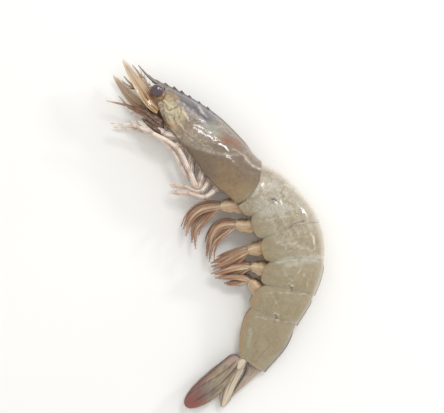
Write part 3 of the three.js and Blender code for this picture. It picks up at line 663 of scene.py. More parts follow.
def wet_material(name, ground, clouds, layers=(), **look):
    """A wet, see-through shell or skin over flesh. Broad clouds mix two ground colours, a
    bloom, faint veins and specks lie over them, and each layer paints one mark of the
    piece's points: its colour, its strength and how far its edge frays. Sizes are in
    millimetres."""
    values = {**LOOK, **look}
    material = bpy.data.materials.new(name)
    material.use_nodes = True
    tree = material.node_tree
    shader = tree.nodes["Principled BSDF"]
    pattern = add_node(tree, "ShaderNodeAttribute", {"attribute_name": PATTERN}).outputs["Vector"]
    stretched = add_node(tree, "ShaderNodeMapping", {}, {
        "Vector": pattern, "Scale": values["stretch"],
    })
    left_out = {kind for kind, use in (("blooms", "bloom"), ("folds", "veins")) if not values[use]}
    noises = {
        kind: add_node(tree, "ShaderNodeTexNoise", {}, {
            "Vector": pattern if kind in ("ripples", "grain") else stretched,
            "Scale": 1 / values[size], **settings,
        })
        for kind, (size, settings) in NOISES.items() if kind not in left_out
    }
    share = add_node(tree, "ShaderNodeMapRange", SOFT_STEP, (noises["clouds"], 0.36, 0.64))
    covers = [(share, clouds)]
    if values["bloom"]:
        covers.append((add_node(tree, "ShaderNodeMapRange", SOFT_STEP, (
            noises["blooms"], 0.42, 0.66, 0.0, values["bloom"],
        )), values["bloom_colour"]))
    if values["veins"]:
        off = add_node(tree, "ShaderNodeMath", {"operation": "SUBTRACT"}, (noises["folds"], 0.5))
        away = add_node(tree, "ShaderNodeMath", {"operation": "ABSOLUTE"}, (off,))
        line = add_node(tree, "ShaderNodeMapRange", SOFT_STEP, (
            away, VEIN_WIDTH, 0.0, 0.0, values["veins"],
        ))
        gaps = add_node(tree, "ShaderNodeMapRange", {}, (noises["fray"], 0.42, 0.58))
        vein = add_node(tree, "ShaderNodeMath", {"operation": "MULTIPLY"}, (line, gaps))
        covers.append((vein, values["vein_colour"]))
    if values["specks"]:
        grains = add_node(tree, "ShaderNodeTexVoronoi", {"feature": "F1"}, {
            "Vector": pattern, "Scale": 1 / values["specks_mm"],
        })
        covers.append((add_node(tree, "ShaderNodeMapRange", {}, (
            grains.outputs["Distance"], 0.34, 0.16, 0.0, values["specks"],
        )), values["speck_colour"]))
    for mark, paint, strength, fray in layers:
        amount = add_node(tree, "ShaderNodeAttribute", {"attribute_name": mark}).outputs["Fac"]
        frayed = add_node(tree, "ShaderNodeMath", {"operation": "MULTIPLY_ADD"}, (
            noises["fray"], fray, amount,
        ))
        covers.append((add_node(tree, "ShaderNodeMapRange", {}, (
            frayed, 0.7 * fray, 1 + 0.3 * fray, 0.0, strength,
        )), paint))
    under = ground
    for cover, paint in covers:
        under = add_node(tree, "ShaderNodeMix", MIX_COLOURS, {
            MIX_SHARE: cover, MIX_UNDER: under, MIX_OVER: paint,
        }).outputs[MIX_RESULT]
    waves = add_node(tree, "ShaderNodeBump", {}, {
        "Height": noises["ripples"], "Distance": values["ripple"] * MM, "Strength": 1.0,
    })
    relief = add_node(tree, "ShaderNodeBump", {}, {
        "Height": noises["grain"], "Distance": values["bump"] * MM, "Strength": 0.35,
        "Normal": waves.outputs[0],
    })
    matt = add_node(tree, "ShaderNodeMapRange", {}, (
        noises["fray"], 0.3, 0.7, values["roughness"] - 0.08, values["roughness"] + 0.12,
    ))
    for socket, source in (
        ("Base Color", under), ("Normal", relief.outputs[0]), ("Coat Normal", waves.outputs[0]),
        ("Roughness", matt.outputs[0]),
    ):
        tree.links.new(source, shader.inputs[socket])
    for socket, value in (
        ("IOR", SHELL_IOR), ("Subsurface Weight", values["flesh"]),
        ("Subsurface Radius", FLESH_RADIUS), ("Subsurface Scale", values["depth"] * MM),
        ("Coat Weight", values["coat"]), ("Coat Roughness", WATER_ROUGHNESS),
        ("Coat IOR", WATER_IOR),
    ):
        shader.inputs[socket].default_value = value
    return material


def hair_material(colours):
    """Setae: fine horny hairs, which show as a soft brown fringe."""
    found = bpy.data.materials.get("wet_setae")
    return found or wet_material(
        "wet_setae", colours.hair, colours.feeler_shade, clouds_mm=2.0, flesh=0.2, coat=0.3,
    )


# The head shield's relief and marks, from places (along, back) on its side.
SIDE_RIDGE = (
    (14, -4.0), (18, -3.6), (23, -2.9), (27.5, -1.2), (31, 1.6), (34, 2.8), (37.2, 4.0),
    (40, 5.6), (43.3, 6.3), (46, 5.9), (49, 6.2), (53, 7.4),
)
GILL_TOP = (
    (8, -10), (20, -8.2), (26.5, -5.8), (29, -4.4), (34, -2.0), (37, 1.0), (39.5, 3.4),
    (43, 5.6), (47, 5.2), (52, 6.8), (56, 7.6),
)
NECK_GROOVE = ((14, -2.2), (17.5, 1.5), (22, 5.5), (28, 10.0))
# Strokes of each mark on the shield: their strength, half width and places.
SHIELD_STROKES = {
    # The glint strokes are painted highlights: white streaks of light on the wet shell near the
    # ridge.
    "glint": (
        (1.0, 0.3, ((18.8, 0.8), (21.2, 2.3), (23.6, 3.3))),
        (0.9, 0.22, ((19.2, -0.3), (21.6, 0.7))),
        (1.1, 0.42, ((22.4, 0.4), (25.4, 1.7), (28.4, 2.6))),
        (0.8, 0.2, ((23.8, 0.3), (26.0, 1.1))),
        (1.1, 0.38, ((31.8, 2.3), (34.2, 3.1), (36.8, 3.7))),
        (0.5, 0.3, ((14.6, 1.3), (15.9, -0.4))),
    ),
    "lilac": (
        (0.9, 0.9, ((9.4, 4.4), (12.4, 4.0), (14.6, 3.7))),
        (0.9, 0.7, ((17.0, 4.4), (19.6, 4.8), (23.3, 4.6))),
        (0.8, 0.6, ((3.8, 2.8), (6.8, 2.9), (9.9, 2.4), (12.5, 2.4))),
        (0.9, 0.7, ((10.8, 8.2), (14.6, 8.5))), (0.9, 0.7, ((16.4, 7.1), (20.4, 7.6))),
        (0.8, 0.5, ((6.2, -4.9), (8.9, -4.1))), (0.6, 0.5, ((24.6, 7.0), (29.4, 8.2), (34.2, 9.4))),
    ),
    "dark": (
        (0.9, 0.45, ((1.4, 6.2), (3.4, 6.8))), (0.95, 0.5, ((4.7, 7.2), (7.2, 7.9))),
        (0.95, 0.55, ((8.5, 8.1), (11.4, 8.8))), (0.95, 0.6, ((13.2, 9.0), (16.2, 9.7))),
        (0.95, 0.6, ((17.6, 9.8), (21.0, 10.3))),
        (0.45, 0.9, ((12.5, 6.9), (16.8, 6.3), (21.0, 6.6))),
        (0.4, 0.6, ((6.6, 4.2), (10.2, 5.6), (14.2, 5.4))),
        (0.75, 0.55, ((3.9, 1.3), (4.6, 2.9), (6.4, 2.6))),
        (0.6, 0.55, ((6.2, -5.2), (8.0, -4.6), (9.8, -4.9))), (0.5, 0.5, ((6.4, 1.2), (8.4, 2.2))),
        (0.5, 0.45, ((3.2, -4.2), (4.8, -4.8), (5.2, -6.6))),
        (0.4, 0.45, ((10.8, -2.2), (12.0, -0.6))),
    ),
    "pale": (
        # The first pale stroke follows the ridge: partly a pale line of the shell and partly a
        # painted highlight.
        (0.5, 0.5, ((36.6, 3.9), (38.9, 5.5), (43.3, 6.4), (45.8, 5.8), (49, 6.2), (51.8, 7.3))),
        (0.5, 0.35, ((18.2, -6.5), (22.7, -4.2), (26.9, -2.3), (31.5, -0.8))),
        (0.45, 0.3, ((19.5, -1.3), (21.6, -2.3), (23.5, -3.0))),
        (0.45, 0.3, ((16.3, -4.6), (20.1, -4.4), (24.2, -3.4))),
        (0.6, 0.8, ((6.2, 3.2), (9.7, 4.6))), (0.6, 0.9, ((11.2, 1.8), (13.2, 2.0))),
        (0.55, 0.7, ((14.7, 7.6), (18.2, 7.2))), (0.4, 0.7, ((13.8, 4.6), (16.6, 4.8))),
        (0.25, 0.8, ((39.5, 8.4), (45, 8.9), (50.5, 9.4))),
        (0.7, 0.3, ((1.8, -2.8), (3.6, -3.4), (5.6, -3.8))),
        (0.6, 0.28, ((5.2, -7.0), (8.0, -7.4), (11.0, -7.2))),
        (0.7, 0.28, ((10.0, -3.4), (12.0, -5.0), (14.6, -5.8))),
        (0.7, 0.32, ((3.0, -0.6), (5.4, -1.5), (7.2, -0.8))),
        (0.7, 0.3, ((7.2, -3.6), (9.2, -3.2), (10.2, -1.6))),
    ),
    "gold": (
        (1.1, 1.1, ((10.0, -6.6), (12.6, -6.6), (13.4, -4.8))),
        (1.0, 0.42, ((1.4, -1.8), (1.6, 1.3), (2.8, 2.6), (4.4, 3.6))),
        (0.7, 0.5, ((2.0, 0.2), (3.3, 0.6), (4.8, 1.0))),
        (0.9, 0.35, ((2.0, 3.4), (4.2, 4.4), (6.2, 4.2))),
        (0.8, 0.35, ((9.5, -8.2), (13.0, -8.0), (15.2, -7.0))),
        (0.7, 0.3, ((4.4, -6.4), (7.4, -6.8), (9.4, -8.2))),
        (0.6, 0.3, ((11.4, -1.6), (13.2, -4.0), (15.8, -5.2))),
    ),
    "cheek": (
        (1.2, 0.4, ((2.4, -1.9), (4.4, -2.9), (6.0, -3.1), (7.7, -1.8), (8.6, 0.4))),
        (1.1, 0.36, ((4.6, -4.2), (7.4, -3.2), (9.4, -3.4))),
        (1.0, 0.32, ((5.4, 0.6), (7.0, -0.2), (8.8, 1.2))),
        (1.0, 0.4, ((10.4, 0.9), (12.2, 1.8), (14.0, 1.2), (15.5, 0.5))),
        (0.9, 0.34, ((8.4, -7.6), (11.8, -8.0), (15.8, -7.6), (18.6, -6.8))),
        (0.9, 0.34, ((12.8, -2.4), (15.2, -3.4), (18.4, -3.2))),
    ),
    "brown": (
        (1.1, 0.32, ((0.6, -3.4), (3.4, -4.4), (6.6, -4.0), (9.6, -2.4))),
        (1.0, 0.3, ((2.6, -0.8), (4.6, -1.6), (6.8, -1.8), (8.0, -0.4), (8.4, 1.6))),
        (1.0, 0.28, ((6.4, 3.6), (8.6, 3.0), (10.2, 1.8), (11.6, 0.2))),
        (0.9, 0.26, ((9.6, -1.6), (11.4, -3.2), (14.0, -4.2), (17.4, -4.4))),
        (0.9, 0.26, ((1.6, -6.2), (5.2, -6.0), (8.8, -6.8), (12.8, -6.6))),
        (0.7, 0.24, ((5.4, -8.2), (9.6, -8.6), (14.6, -8.2), (19.6, -8.0))),
        (0.6, 0.24, ((9.0, 0.6), (11.2, -0.6), (12.6, -2.8))),
        (0.9, 0.35, ((21.2, -8.7), (30.3, -11.0), (39.1, -12.9), (46.3, -12.5), (53, -10.8))),
    ),
    "red": (
        (0.75, 1.7, ((31.1, 4.6), (33.8, 6.3), (37.2, 8.6))),
        (1.2, 0.8, ((33.0, 5.8), (35.6, 7.4))),
    ),
    "warm": (
        (0.5, 4.4, ((40, -3.6), (50, -3.4))), (1.0, 3.6, ((44, -9.5), (52.5, -7.0))),
    ),
}
SHIELD_MARKS = (
    "tan", "gill", "warm", "olive", "slate", "sage", "yellow", "gold", "bronze", "red", "brown",
    "lilac", "cheek", "dark", "pale", "glint",
)
# Where parts of the shield's relief and marks rise and fade along it.
RIDGE_SPAN = ((14, 22), (51, 55))
GILL_SPAN = ((12, 30), (55.0, 56.6))
SLATE_SPAN = ((1, 7), (19, 29))
CREST_END = (38, 47)
# Bows of the shield's front edge: how far each shifts it, at which height from -1 (belly)
# to 1 (back), and over what reach.
FRONT_BOWS = ((1.1, 0.32, 0.2), (-2.6, -0.1, 0.035), (-1.2, -0.62, 0.05))
FRONT_BOW_END = (0, 0.14)
# The thickened edge of a lower flap, as a share of the half width, and a distance that is
# out of reach of any mark.
FLAP_SIDE = 0.66
FAR = 99.0
# Stations of the shield's front and rear rims, which turn inwards: the share of the way
# from its front edge to its rear one, and the size of the section.
SHIELD_FRONT_RIM = (
    (0.05, 0), (0.05, 0.5), (0.05, 0.88), (0.02, 0.93), (0.002, 0.945), (0, 0.96),
)
SHIELD_REAR_RIM = (
    (1.005, 0.994), (1.005, 0.985), (1.0, 0.979), (0.97, 0.975), (0.97, 0.5), (0.97, 0),
)
SHIELD_ROWS, SHIELD_COLUMNS = 118, 168
SPINE = ((16.6, 0.3, 8.0), (14.0, 0.9, 9.6))
SPINE_WIDTHS = (0.75, 0.05)


def line_distance(line, along, back):
    """The distance from a place on the side to a broken line."""
    best = math.inf
    for (x, y), (far_x, far_y) in zip(line, line[1:]):
        run, rise = far_x - x, far_y - y
        share = ((along - x) * run + (back - y) * rise) / (run * run + rise * rise)
        share = min(1.0, max(0.0, share))
        best = min(best, math.hypot(along - x - share * run, back - y - share * rise))
    return best


def stroke_marks(strokes, along, back):
    """How much of each mark a set of strokes leaves at a place on the side. Noise bends the
    strokes and wears them thin in places, at sizes in millimetres."""
    spot = Vector((along, back, 3.0))
    bend = noise.noise_vector(spot / 2.4) * 0.8 + noise.noise_vector(spot / 0.8) * 0.3
    worn = 0.85 + 0.7 * noise.noise(spot / 1.3)
    x, y = along + bend.x, back + bend.y
    return {
        mark: max(0.0, *(
            strength * bell(line_distance(line, x, y), width) * worn
            for strength, width, line in lines
        ))
        for mark, lines in strokes.items()
    }


def blend_marks(*groups):
    """The strongest of each mark in several sets of marks."""
    marks = {}
    for group in groups:
        for mark, amount in group.items():
            marks[mark] = max(marks.get(mark, 0.0), amount)
    return marks


def plate_point(form, t, scale, angle):
    """A point of a plate of the body, with its pattern and marks. t runs from the front
    edge to the rear one, and scale shrinks the section towards the axis."""
    front, rear = form["front"], form["rear"]
    back_at, side_at, belly_at = (mix(a, b, t) for a, b in zip(front, rear))
    back = smooth_value(BACK, back_at)
    width = smooth_value(WIDTH, side_at)
    full_belly = smooth_value(BELLY, belly_at)
    belly = full_belly * (1 - form["lobe"] * (2 * min(1, max(0, t)) - 1) ** 4)
    side, height = section_shares(angle)
    low = height < 0
    height *= belly if low else back
    if low:
        height += hollow_depth(side)
    share = height / (back if height > 0 else full_belly)
    along = mix(edge_at(front, share * scale), edge_at(rear, share * scale), t)
    across = side * width
    lift, shift, marks = form["detail"](along, height, across, t, share, low, width)
    reach = math.hypot(height, across)
    grown = scale * (1 + (lift / reach if scale > 0.9 and reach > 0 else 0))
    along += shift
    point = place(along, height * grown, across * grown)
    return point, Vector((along, height, across)), marks


STROKE_SEED = 7  # noise vectors would start from the clock without a seed


def add_plate(bm, form, stations, columns):
    """A plate of the body: a skin through sections at the stations."""
    noise.seed_set(STROKE_SEED)

    def shape(row, turn):
        t, scale = stations[round(row * (len(stations) - 1))]
        return plate_point(form, t, scale, even_angle(turn))

    add_skin(bm, columns, len(stations) - 1, shape)


def plate_edges(back, across, width, low, reach):
    """How far a place is from the line along the back, and how near a lower flap's edge."""
    flap = bell(abs(across) - FLAP_SIDE * width, reach) if low else 0.0
    return (abs(across) if back > 0 else FAR), flap


def shield_detail(sizes):
    """Relief, front edge and marks of the head shield."""
    ridge_height, groove = sizes.ridge / MM, sizes.groove / MM

    def detail(along, back, across, t, share, low, width):
        strokes = stroke_marks(SHIELD_STROKES, along, back)
        from_ridge = back - smooth_value(SIDE_RIDGE, along)
        on_ridge = between(along, *RIDGE_SPAN)
        from_top, flap = plate_edges(back, across, width, low, 0.55)
        lift = ridge_height * bell(from_ridge, 0.7) * on_ridge
        lift -= 0.5 * groove * bell(from_ridge + 2.2, 1.6) * on_ridge
        lift -= groove * bell(line_distance(NECK_GROOVE, along, back), 0.8)
        lift += 0.3 * strokes["glint"] + 0.15 * strokes["pale"] + 0.12 * strokes["gold"]
        crest = 0.5 * bell(from_top, 0.6) - 0.6 * groove * bell(from_top - 1.9, 0.7)
        lift += crest * (1 - smooth(*CREST_END, along))
        lift += 0.22 * flap + 0.1 * bell(t - 1, 0.012)
        shift = (1 - smooth(*FRONT_BOW_END, t)) * sum(
            forward * bell(share - height, reach) for forward, height, reach in FRONT_BOWS
        )
        above_gill = back - smooth_value(GILL_TOP, along)
        front_low = (1 - smooth(10, 18, along)) * (1 - smooth(0.5, 4.5, back))
        areas = {
            "tan": smooth(-3, 1, -back) * (1 - smooth(18, 34, along)),
            "gill": smooth(-0.8, 0.7, -above_gill) * between(along, *GILL_SPAN),
            "olive": smooth(47, 55, along) * smooth(-8, 6, -back),
            "slate": smooth(0, 2.6, back - 1.8 - 0.1 * along) * between(along, *SLATE_SPAN),
            "sage": bell(along - 25, 6) * bell(back - 5.6, 2.6),
            "yellow": 0.85 * front_low,
            "bronze": smooth(24, 34, along) * smooth(-0.5, 1.5, above_gill - 1),
            "dark": max(
                bell(from_top, 1.1) * (1 - smooth(40, 50, along)),
                0.8 * bell(from_top, 3.0) * (1 - smooth(20, 36, along)), 0.3 * bell(t - 1, 0.008),
            ),
            "brown": max(0.7 * flap, 0.8 * smooth(8.2, 9.4, -back) * (1 - smooth(8, 22, along))),
            "pale": 0.12 * bell(t - 0.975, 0.01),
        }
        return lift, shift, blend_marks(areas, strokes)

    return detail


def outer_stations(first, last, count, scale_at):
    """Evenly spaced stations of a plate's outer side, whose sections scale_at(t) sizes."""
    return [
        (mix(first, last, i / count), scale_at(mix(first, last, i / count)))
        for i in range(count + 1)
    ]


BEAK_TIP, BEAK_ROOT = -17, 22
BEAK_TOP = ((-17, 2.6), (-9, 2.8), (-3, 4.8), (4, 7.0), (10, 8.4), (20, 10.6), (22, 10.8))
BEAK_BOTTOM = ((-17, 2.2), (-9, 1.6), (0, 3.0), (8, 6.5), (20, 9.6), (22, 9.9))
BEAK_HALF_WIDTH = ((-17, 0.12), (-9, 0.7), (0, 1.2), (22, 0.9))
BEAK_ROWS, BEAK_COLUMNS = 150, 16
# The beak's section narrows towards its top and bottom edges, and its teeth lean forward
# by a share of their height.
BEAK_MIDDLE = 0.45
BEAK_NARROWING = 0.62
TOOTH_LEAN = 0.55
# Teeth peak at these places along the body. Each rises over one length and falls off over
# another, and the upper ones grow from the first to the second share of their full height.
UPPER_TEETH = (-10.4, -6.9, -3.0, 0.9, 4.4, 8.2, 13.0, 17.3)
LOWER_TEETH = (-7.4, -5.2)
UPPER_TOOTH = {"rise": 0.6, "fall": 3.2, "bend": 1.2}
LOWER_TOOTH = {"rise": 0.5, "fall": 2.0, "bend": 1.0}
TOOTH_GROWTH = (0.3, 1.35)
LOWER_TOOTH_HEIGHT = 0.5


def tooth_share(since, form):
    """The share of a tooth's height at a distance behind its peak."""
    if since < 0:
        return max(0.0, 1 + since / form["rise"])
    return max(0.0, 1 - since / form["fall"]) ** form["bend"]


def add_beak(bm, sizes):
    """The beak: a thin blade over the eyes with forward teeth, running into the crest."""

    def shape(row, turn):
        along = mix(BEAK_TIP, BEAK_ROOT, row)
        angle = 2 * math.pi * turn
        up = math.sin(angle)
        top, bottom = smooth_value(BEAK_TOP, along), smooth_value(BEAK_BOTTOM, along)
        middle = mix(bottom, top, BEAK_MIDDLE)
        rise = max(
            tooth_share(along - peak, UPPER_TOOTH) * mix(*TOOTH_GROWTH, smooth(-9, 3, peak))
            for peak in UPPER_TEETH
        )
        drop = max(
            LOWER_TOOTH_HEIGHT * tooth_share(along - peak, LOWER_TOOTH) for peak in LOWER_TEETH
        )
        on_tooth = smooth(0.05, 0.5, rise)
        hook = 0.0
        if up > 0:
            rise *= sizes.tooth / MM * up ** 3
            hook = -TOOTH_LEAN * rise
            height = mix(middle, top, up) + rise
        else:
            height = mix(middle, bottom, -up) - TOOTH_LEAN * drop * up ** 4
        across = smooth_value(BEAK_HALF_WIDTH, along) * math.cos(angle)
        across *= 1 - BEAK_NARROWING * abs(up) ** 1.5
        if row in (0, 1):
            height, across = middle, 0.0
        on_head = smooth(-8, 2, along)
        toothed = mix(0.55, 0.35 + 0.65 * on_tooth, on_head)
        marks = {
            "dark": (0.3 + 0.7 * smooth(0.35, 0.9, up)) * toothed,
            "yellow": 0.8 * smooth(0.5, 0.9, up) * on_head * (1 - on_tooth),
            "slate": 0.7 * (1 - smooth(0, 0.6, up)), "pale": 0.5 * bell(up, 0.2),
            "brown": 0.7 * (1 - smooth(-15, -10, along)),
        }
        return place(along + hook, height, across), Vector((along, height, across)), marks

    add_skin(bm, BEAK_COLUMNS, BEAK_ROWS, shape)


class ShrimpShield(bpy.types.Operator):
    """Builds the head shield with its beak, ridges and spines"""

    bl_idname = "shrimp.shield"
    bl_label = "Head Shield"

    def execute(self, context):
        sizes, colours = context.scene.shrimp_sizes, context.scene.shrimp_colours
        bm = new_mesh(SHIELD_MARKS)
        form = {
            "front": SHIELD_FRONT, "rear": SHIELD_REAR, "lobe": 0.05,
            "detail": shield_detail(sizes),
        }
        outside = outer_stations(
            0.001, 1, SHIELD_ROWS,
            lambda t: 0.97 + 0.03 * math.sin(math.pi * min(1, t * 4) / 2),
        )
        add_plate(bm, form, [*SHIELD_FRONT_RIM, *outside, *SHIELD_REAR_RIM], SHIELD_COLUMNS)
        add_beak(bm, sizes)
        for side in SIDES.values():
            root, tip = (place(along, back, across * side) for along, back, across in SPINE)
            add_limb(
                bm, Route([root, root.lerp(tip, 0.5), tip]),
                lambda share: mix(*SPINE_WIDTHS, share), columns=10, step=0.3,
                marks=lambda share, level: {"pale": 0.3},
            )
        material = shield_material(colours)
        finish_piece(bm, "head_shield", ["shield"], [material])
        return {"FINISHED"}


def shield_material(colours):
    """Carapace: thin chitin over gills and liver, wet. The gills show brown through it,
    the front has a slate bloom, and the film of water gives small sharp highlights. White
    highlights are also painted on it, near the ridge."""
    return wet_material(
        "wet_carapace", colours.shield, colours.shield_shade,
        layers=(
            ("tan", colours.tan, 0.25, 0.5),
            ("bronze", colours.bronze, 0.82, 0.7),
            ("sage", colours.sage, 0.5, 0.6),
            ("slate", colours.slate, 0.85, 0.7),
            ("lilac", colours.lilac, 0.65, 0.9),
            ("yellow", colours.yellow, 0.85, 0.6),
            ("gill", colours.gill, 0.85, 0.3),
            ("olive", colours.olive, 0.68, 0.4),
            ("warm", colours.warm, 0.6, 0.4),
            ("red", colours.red, 0.6, 0.8),
            ("gold", colours.amber, 0.75, 0.6),
            ("cheek", colours.cheek, 0.8, 0.7),
            ("brown", colours.brown, 0.85, 0.5),
            ("dark", colours.dark, 0.9, 0.4),
            # Pale lines of the shell; the one along the ridge is partly a painted highlight.
            ("pale", colours.pale, 0.7, 0.7),
            # Painted highlights: white streaks on the wet shell near the ridge.
            ("glint", WHITE, 1.0, 0.9),
        ),
        clouds_mm=4.0, veins=0.5, veins_mm=3.6, vein_colour=colours.pale, specks_mm=0.8,
        specks=0.25, speck_colour=colours.brown, ripple_mm=2.6, ripple=0.2, bump=0.1, flesh=0.3,
        coat=0.9, roughness=0.3,
    )


# Strokes on the rings. Hinges are where two rings pivot on each other.
RING_STROKES = {
    "hinge": (
        (0.9, 0.32, ((64.6, 2.4), (65.3, 3.3), (66.3, 3.4))),
        (0.9, 0.3, ((77.2, 1.5), (78.0, 2.4), (78.9, 2.2))), (0.5, 0.3, ((90.3, 0.6), (91.0, 0.8))),
        (1.3, 0.3, ((102.6, -1.2), (103.4, -0.2), (103.3, 0.9))),
        (1.1, 0.28, ((103.9, 0.5), (104.9, 0.9))),
        (1.4, 0.32, ((117.0, -1.7), (117.8, -0.7), (118.0, 0.3))),
        (1.1, 0.3, ((118.4, -0.9), (119.4, -0.5))), (0.4, 0.3, ((125.0, -1.2), (126.5, 1.3))),
    ),
    "pale": (
        (0.9, 0.3, ((102.2, -1.6), (102.4, 0.8))),
        (0.9, 0.3, ((116.6, -2.0), (116.2, 0.1), (116.8, 0.9))),
        (0.8, 0.5, ((63.3, 10.3), (65.4, 11.2), (67.5, 12.6))),
        (0.5, 0.7, ((83.2, -4.4), (84.4, -0.3), (86.7, 3.5), (88.6, 7.5))),
        (0.5, 0.35, ((94.5, -4.4), (97.9, -3.9), (100.5, -0.4), (97.6, 0.9), (94.6, 3.4))),
        # The next two pale strokes, high on the back of rings 2 and 3, are painted highlights.
        (0.9, 0.35, ((70.9, 9.4), (74.0, 10.2), (77.5, 10.2))),
        (0.8, 0.35, ((82.2, 9.3), (85.7, 9.3), (88.4, 9.0))),
        (0.45, 0.4, ((109.6, -9.5), (107.0, -4.2), (105.0, 2.8), (104.2, 9.1))),
        (0.55, 0.35, ((111.2, -3.8), (112.9, -2.3), (114.2, -2.4))),
        (0.5, 0.4, ((122.6, -9.2), (121.1, -5.1), (118.4, 0.3), (116.9, 5.7), (116.6, 8.7))),
        (0.6, 0.28, ((81.0, -6.4), (83.6, -3.4), (84.6, 0.6), (84.2, 4.0))),
        (0.5, 0.26, ((86.6, -6.0), (87.6, -2.2), (87.4, 1.4))),
        (0.5, 0.26, ((70.0, -4.6), (71.6, -1.0), (73.6, 2.6))),
        (0.5, 0.26, ((96.4, 3.4), (98.6, 5.6), (101.6, 6.6))),
    ),
    "crack": (
        (0.9, 0.24, ((64.9, 1.7), (65.2, 4.6), (65.0, 6.7), (63.8, 10.8))),
        (0.6, 0.24, ((66.2, -3.4), (65.5, -1.0), (65.2, 2.6))),
        (0.9, 0.22, ((77.9, -0.4), (77.7, 1.1), (77.5, 4.2), (77.7, 8.3))),
        (0.6, 0.22, ((108.6, 3.4), (111.0, 2.2), (114.4, 2.6))),
        (0.6, 0.24, ((95.0, -7.4), (98.4, -8.2), (101.4, -7.6))),
        (0.6, 0.2, ((128.0, 0.6), (129.4, 1.6), (131.0, 1.2))),
        (0.6, 0.2, ((132.0, -1.6), (134.4, -0.8), (136.8, -1.2))),
        (0.7, 0.2, ((124.4, 3.6), (129.0, 3.2), (134.6, 1.8), (138.8, 0.8))),
        (0.6, 0.2, ((122.8, -4.2), (128.2, -3.6), (134.0, -2.6))),
    ),
    "haze": (
        (0.9, 1.5, ((91.8, -7.5), (90.6, -2.1), (91.5, 1.0))),
        (1.0, 1.2, ((91.3, 3.4), (91.2, 7.9), (91.9, 13.0))),
        (0.5, 1.6, ((68.0, 3.0), (70.3, 5.0), (72.4, 8.0))),
        (0.8, 1.3, ((93.4, -3.0), (93.2, 1.0), (92.4, 6.0))),
        (0.5, 1.2, ((127.4, -7.2), (130.6, -6.2), (134.7, -4.9))),
    ),
    "gold": (
        (0.8, 0.5, ((108.0, -11.9), (114.6, -11.6), (119.6, -10.9))),
        (0.9, 0.5, ((123, -10.9), (127, -10.8), (130.7, -9.8), (137.2, -7.1), (140, -5.7))),
        (0.8, 0.45, ((140.0, -2.4), (140.6, 1.5), (141.0, 6.0))),
    ),
}
RING_MARKS = ("olive", "pink", "haze", "sun", "gold", "pale", "margin", "crack", "hinge", "dark")
# From the first ring to the last: how strong and how wide the dark line along the back is,
# and how strong the pale margin beside it.
KEEL_COLOURS = (0.3, 0.35, 0.4, 0.6, 0.9, 1.0)
KEEL_WIDTHS = (0.5, 0.5, 0.5, 0.9, 1.3, 1.8)
MARGINS = (0.9, 0.9, 0.7, 0.3, 0.0, 0.0)
KEEL_FROM_RING = 3
LAST_RING = len(RING_REARS) - 1
SUN_SPAN = ((74, 80), (96, 101))
# How far a ring reaches under the plate before it, and its rims in the same way. The
# stations of the front one are all at the tuck.
RING_TUCK = 1.6
RING_FRONT_RIM = (0, 0.5, 0.9, 0.97)
RING_REAR_RIM = ((1.004, 0.998), (1.004, 0.993), (1.0, 0.99), (0.94, 0.989), (0.94, 0.5), (0.94, 0))
RING_ROWS, LAST_RING_ROWS, RING_COLUMNS = 30, 48, 150


def ring_detail(index, sizes):
    """Relief and marks of one ring of the abdomen."""
    keel = sizes.keel / MM if index >= KEEL_FROM_RING else 0.0
    last = index == LAST_RING

    def detail(along, back, across, t, share, low, width):
        strokes = stroke_marks(RING_STROKES, along, back)
        from_top, flap = plate_edges(back, across, width, low, 0.6)
        lift = 0.12 * math.sin(math.pi * min(1, max(0, t))) + 0.05 * bell(t - 1, 0.03)
        lift += keel * bell(from_top, 0.55) * smooth(0.02, 0.2, t)
        lift += 0.15 * flap - 0.25 * strokes["hinge"] - 0.15 * strokes["crack"]
        lift += 0.1 * strokes["pale"]
        if last:
            lift += 0.16 * bell(back - 2.6 + 0.05 * (along - 130), 0.5)
            lift -= 0.14 * bell(back + 1.2, 0.7)
        areas = {
            "olive": min(0.85, 0.85 * smooth(48, 112, along) + 0.6 * smooth(0.15, 0.95, -share)),
            "pink": max(0.5 if last else 0.1, 0.6 * smooth(0.25, 0.95, share)),
            "margin": MARGINS[index] * bell(1 - share, 0.16),
            "gold": 0.35 * smooth(0.75, 1.0, -share),
            "pale": max(0.35 * bell(t - 0.985, 0.02), 0.2 * bell(t - 0.36, 0.03)),
            "dark": KEEL_COLOURS[index] * bell(from_top, KEEL_WIDTHS[index]),
            "sun": 0.55 * bell(back + 12.6, 1.7) * between(along, *SUN_SPAN),
        }
        return lift, 0.0, blend_marks(areas, strokes)

    return detail


class ShrimpRings(bpy.types.Operator):
    """Builds the six overlapping rings of the abdomen"""

    bl_idname = "shrimp.rings"
    bl_label = "Abdomen Rings"

    def execute(self, context):
        sizes, colours = context.scene.shrimp_sizes, context.scene.shrimp_colours
        material = ring_material(colours)
        for index, rear in enumerate(RING_REARS):
            before = SHIELD_REAR if index == 0 else RING_REARS[index - 1]
            last = index == LAST_RING
            form = {
                "front": shift_edge(before, RING_OVERLAP), "rear": rear,
                "lobe": 0.1 if last else 0.18, "detail": ring_detail(index, sizes),
            }
            tuck = -RING_TUCK / (rear[1] - before[1])
            stations = [(tuck, scale) for scale in RING_FRONT_RIM]
            stations += outer_stations(
                tuck, 1, LAST_RING_ROWS if last else RING_ROWS,
                lambda t: 0.985 + 0.015 * smooth(-0.02, 0.3, t),
            )
            bm = new_mesh(RING_MARKS)
            add_plate(bm, form, [*stations, *RING_REAR_RIM], RING_COLUMNS)
            name = f"abdomen_ring_{index + 1}"
            finish_piece(bm, f"shell_{name}", [name], [material])
        return {"FINISHED"}


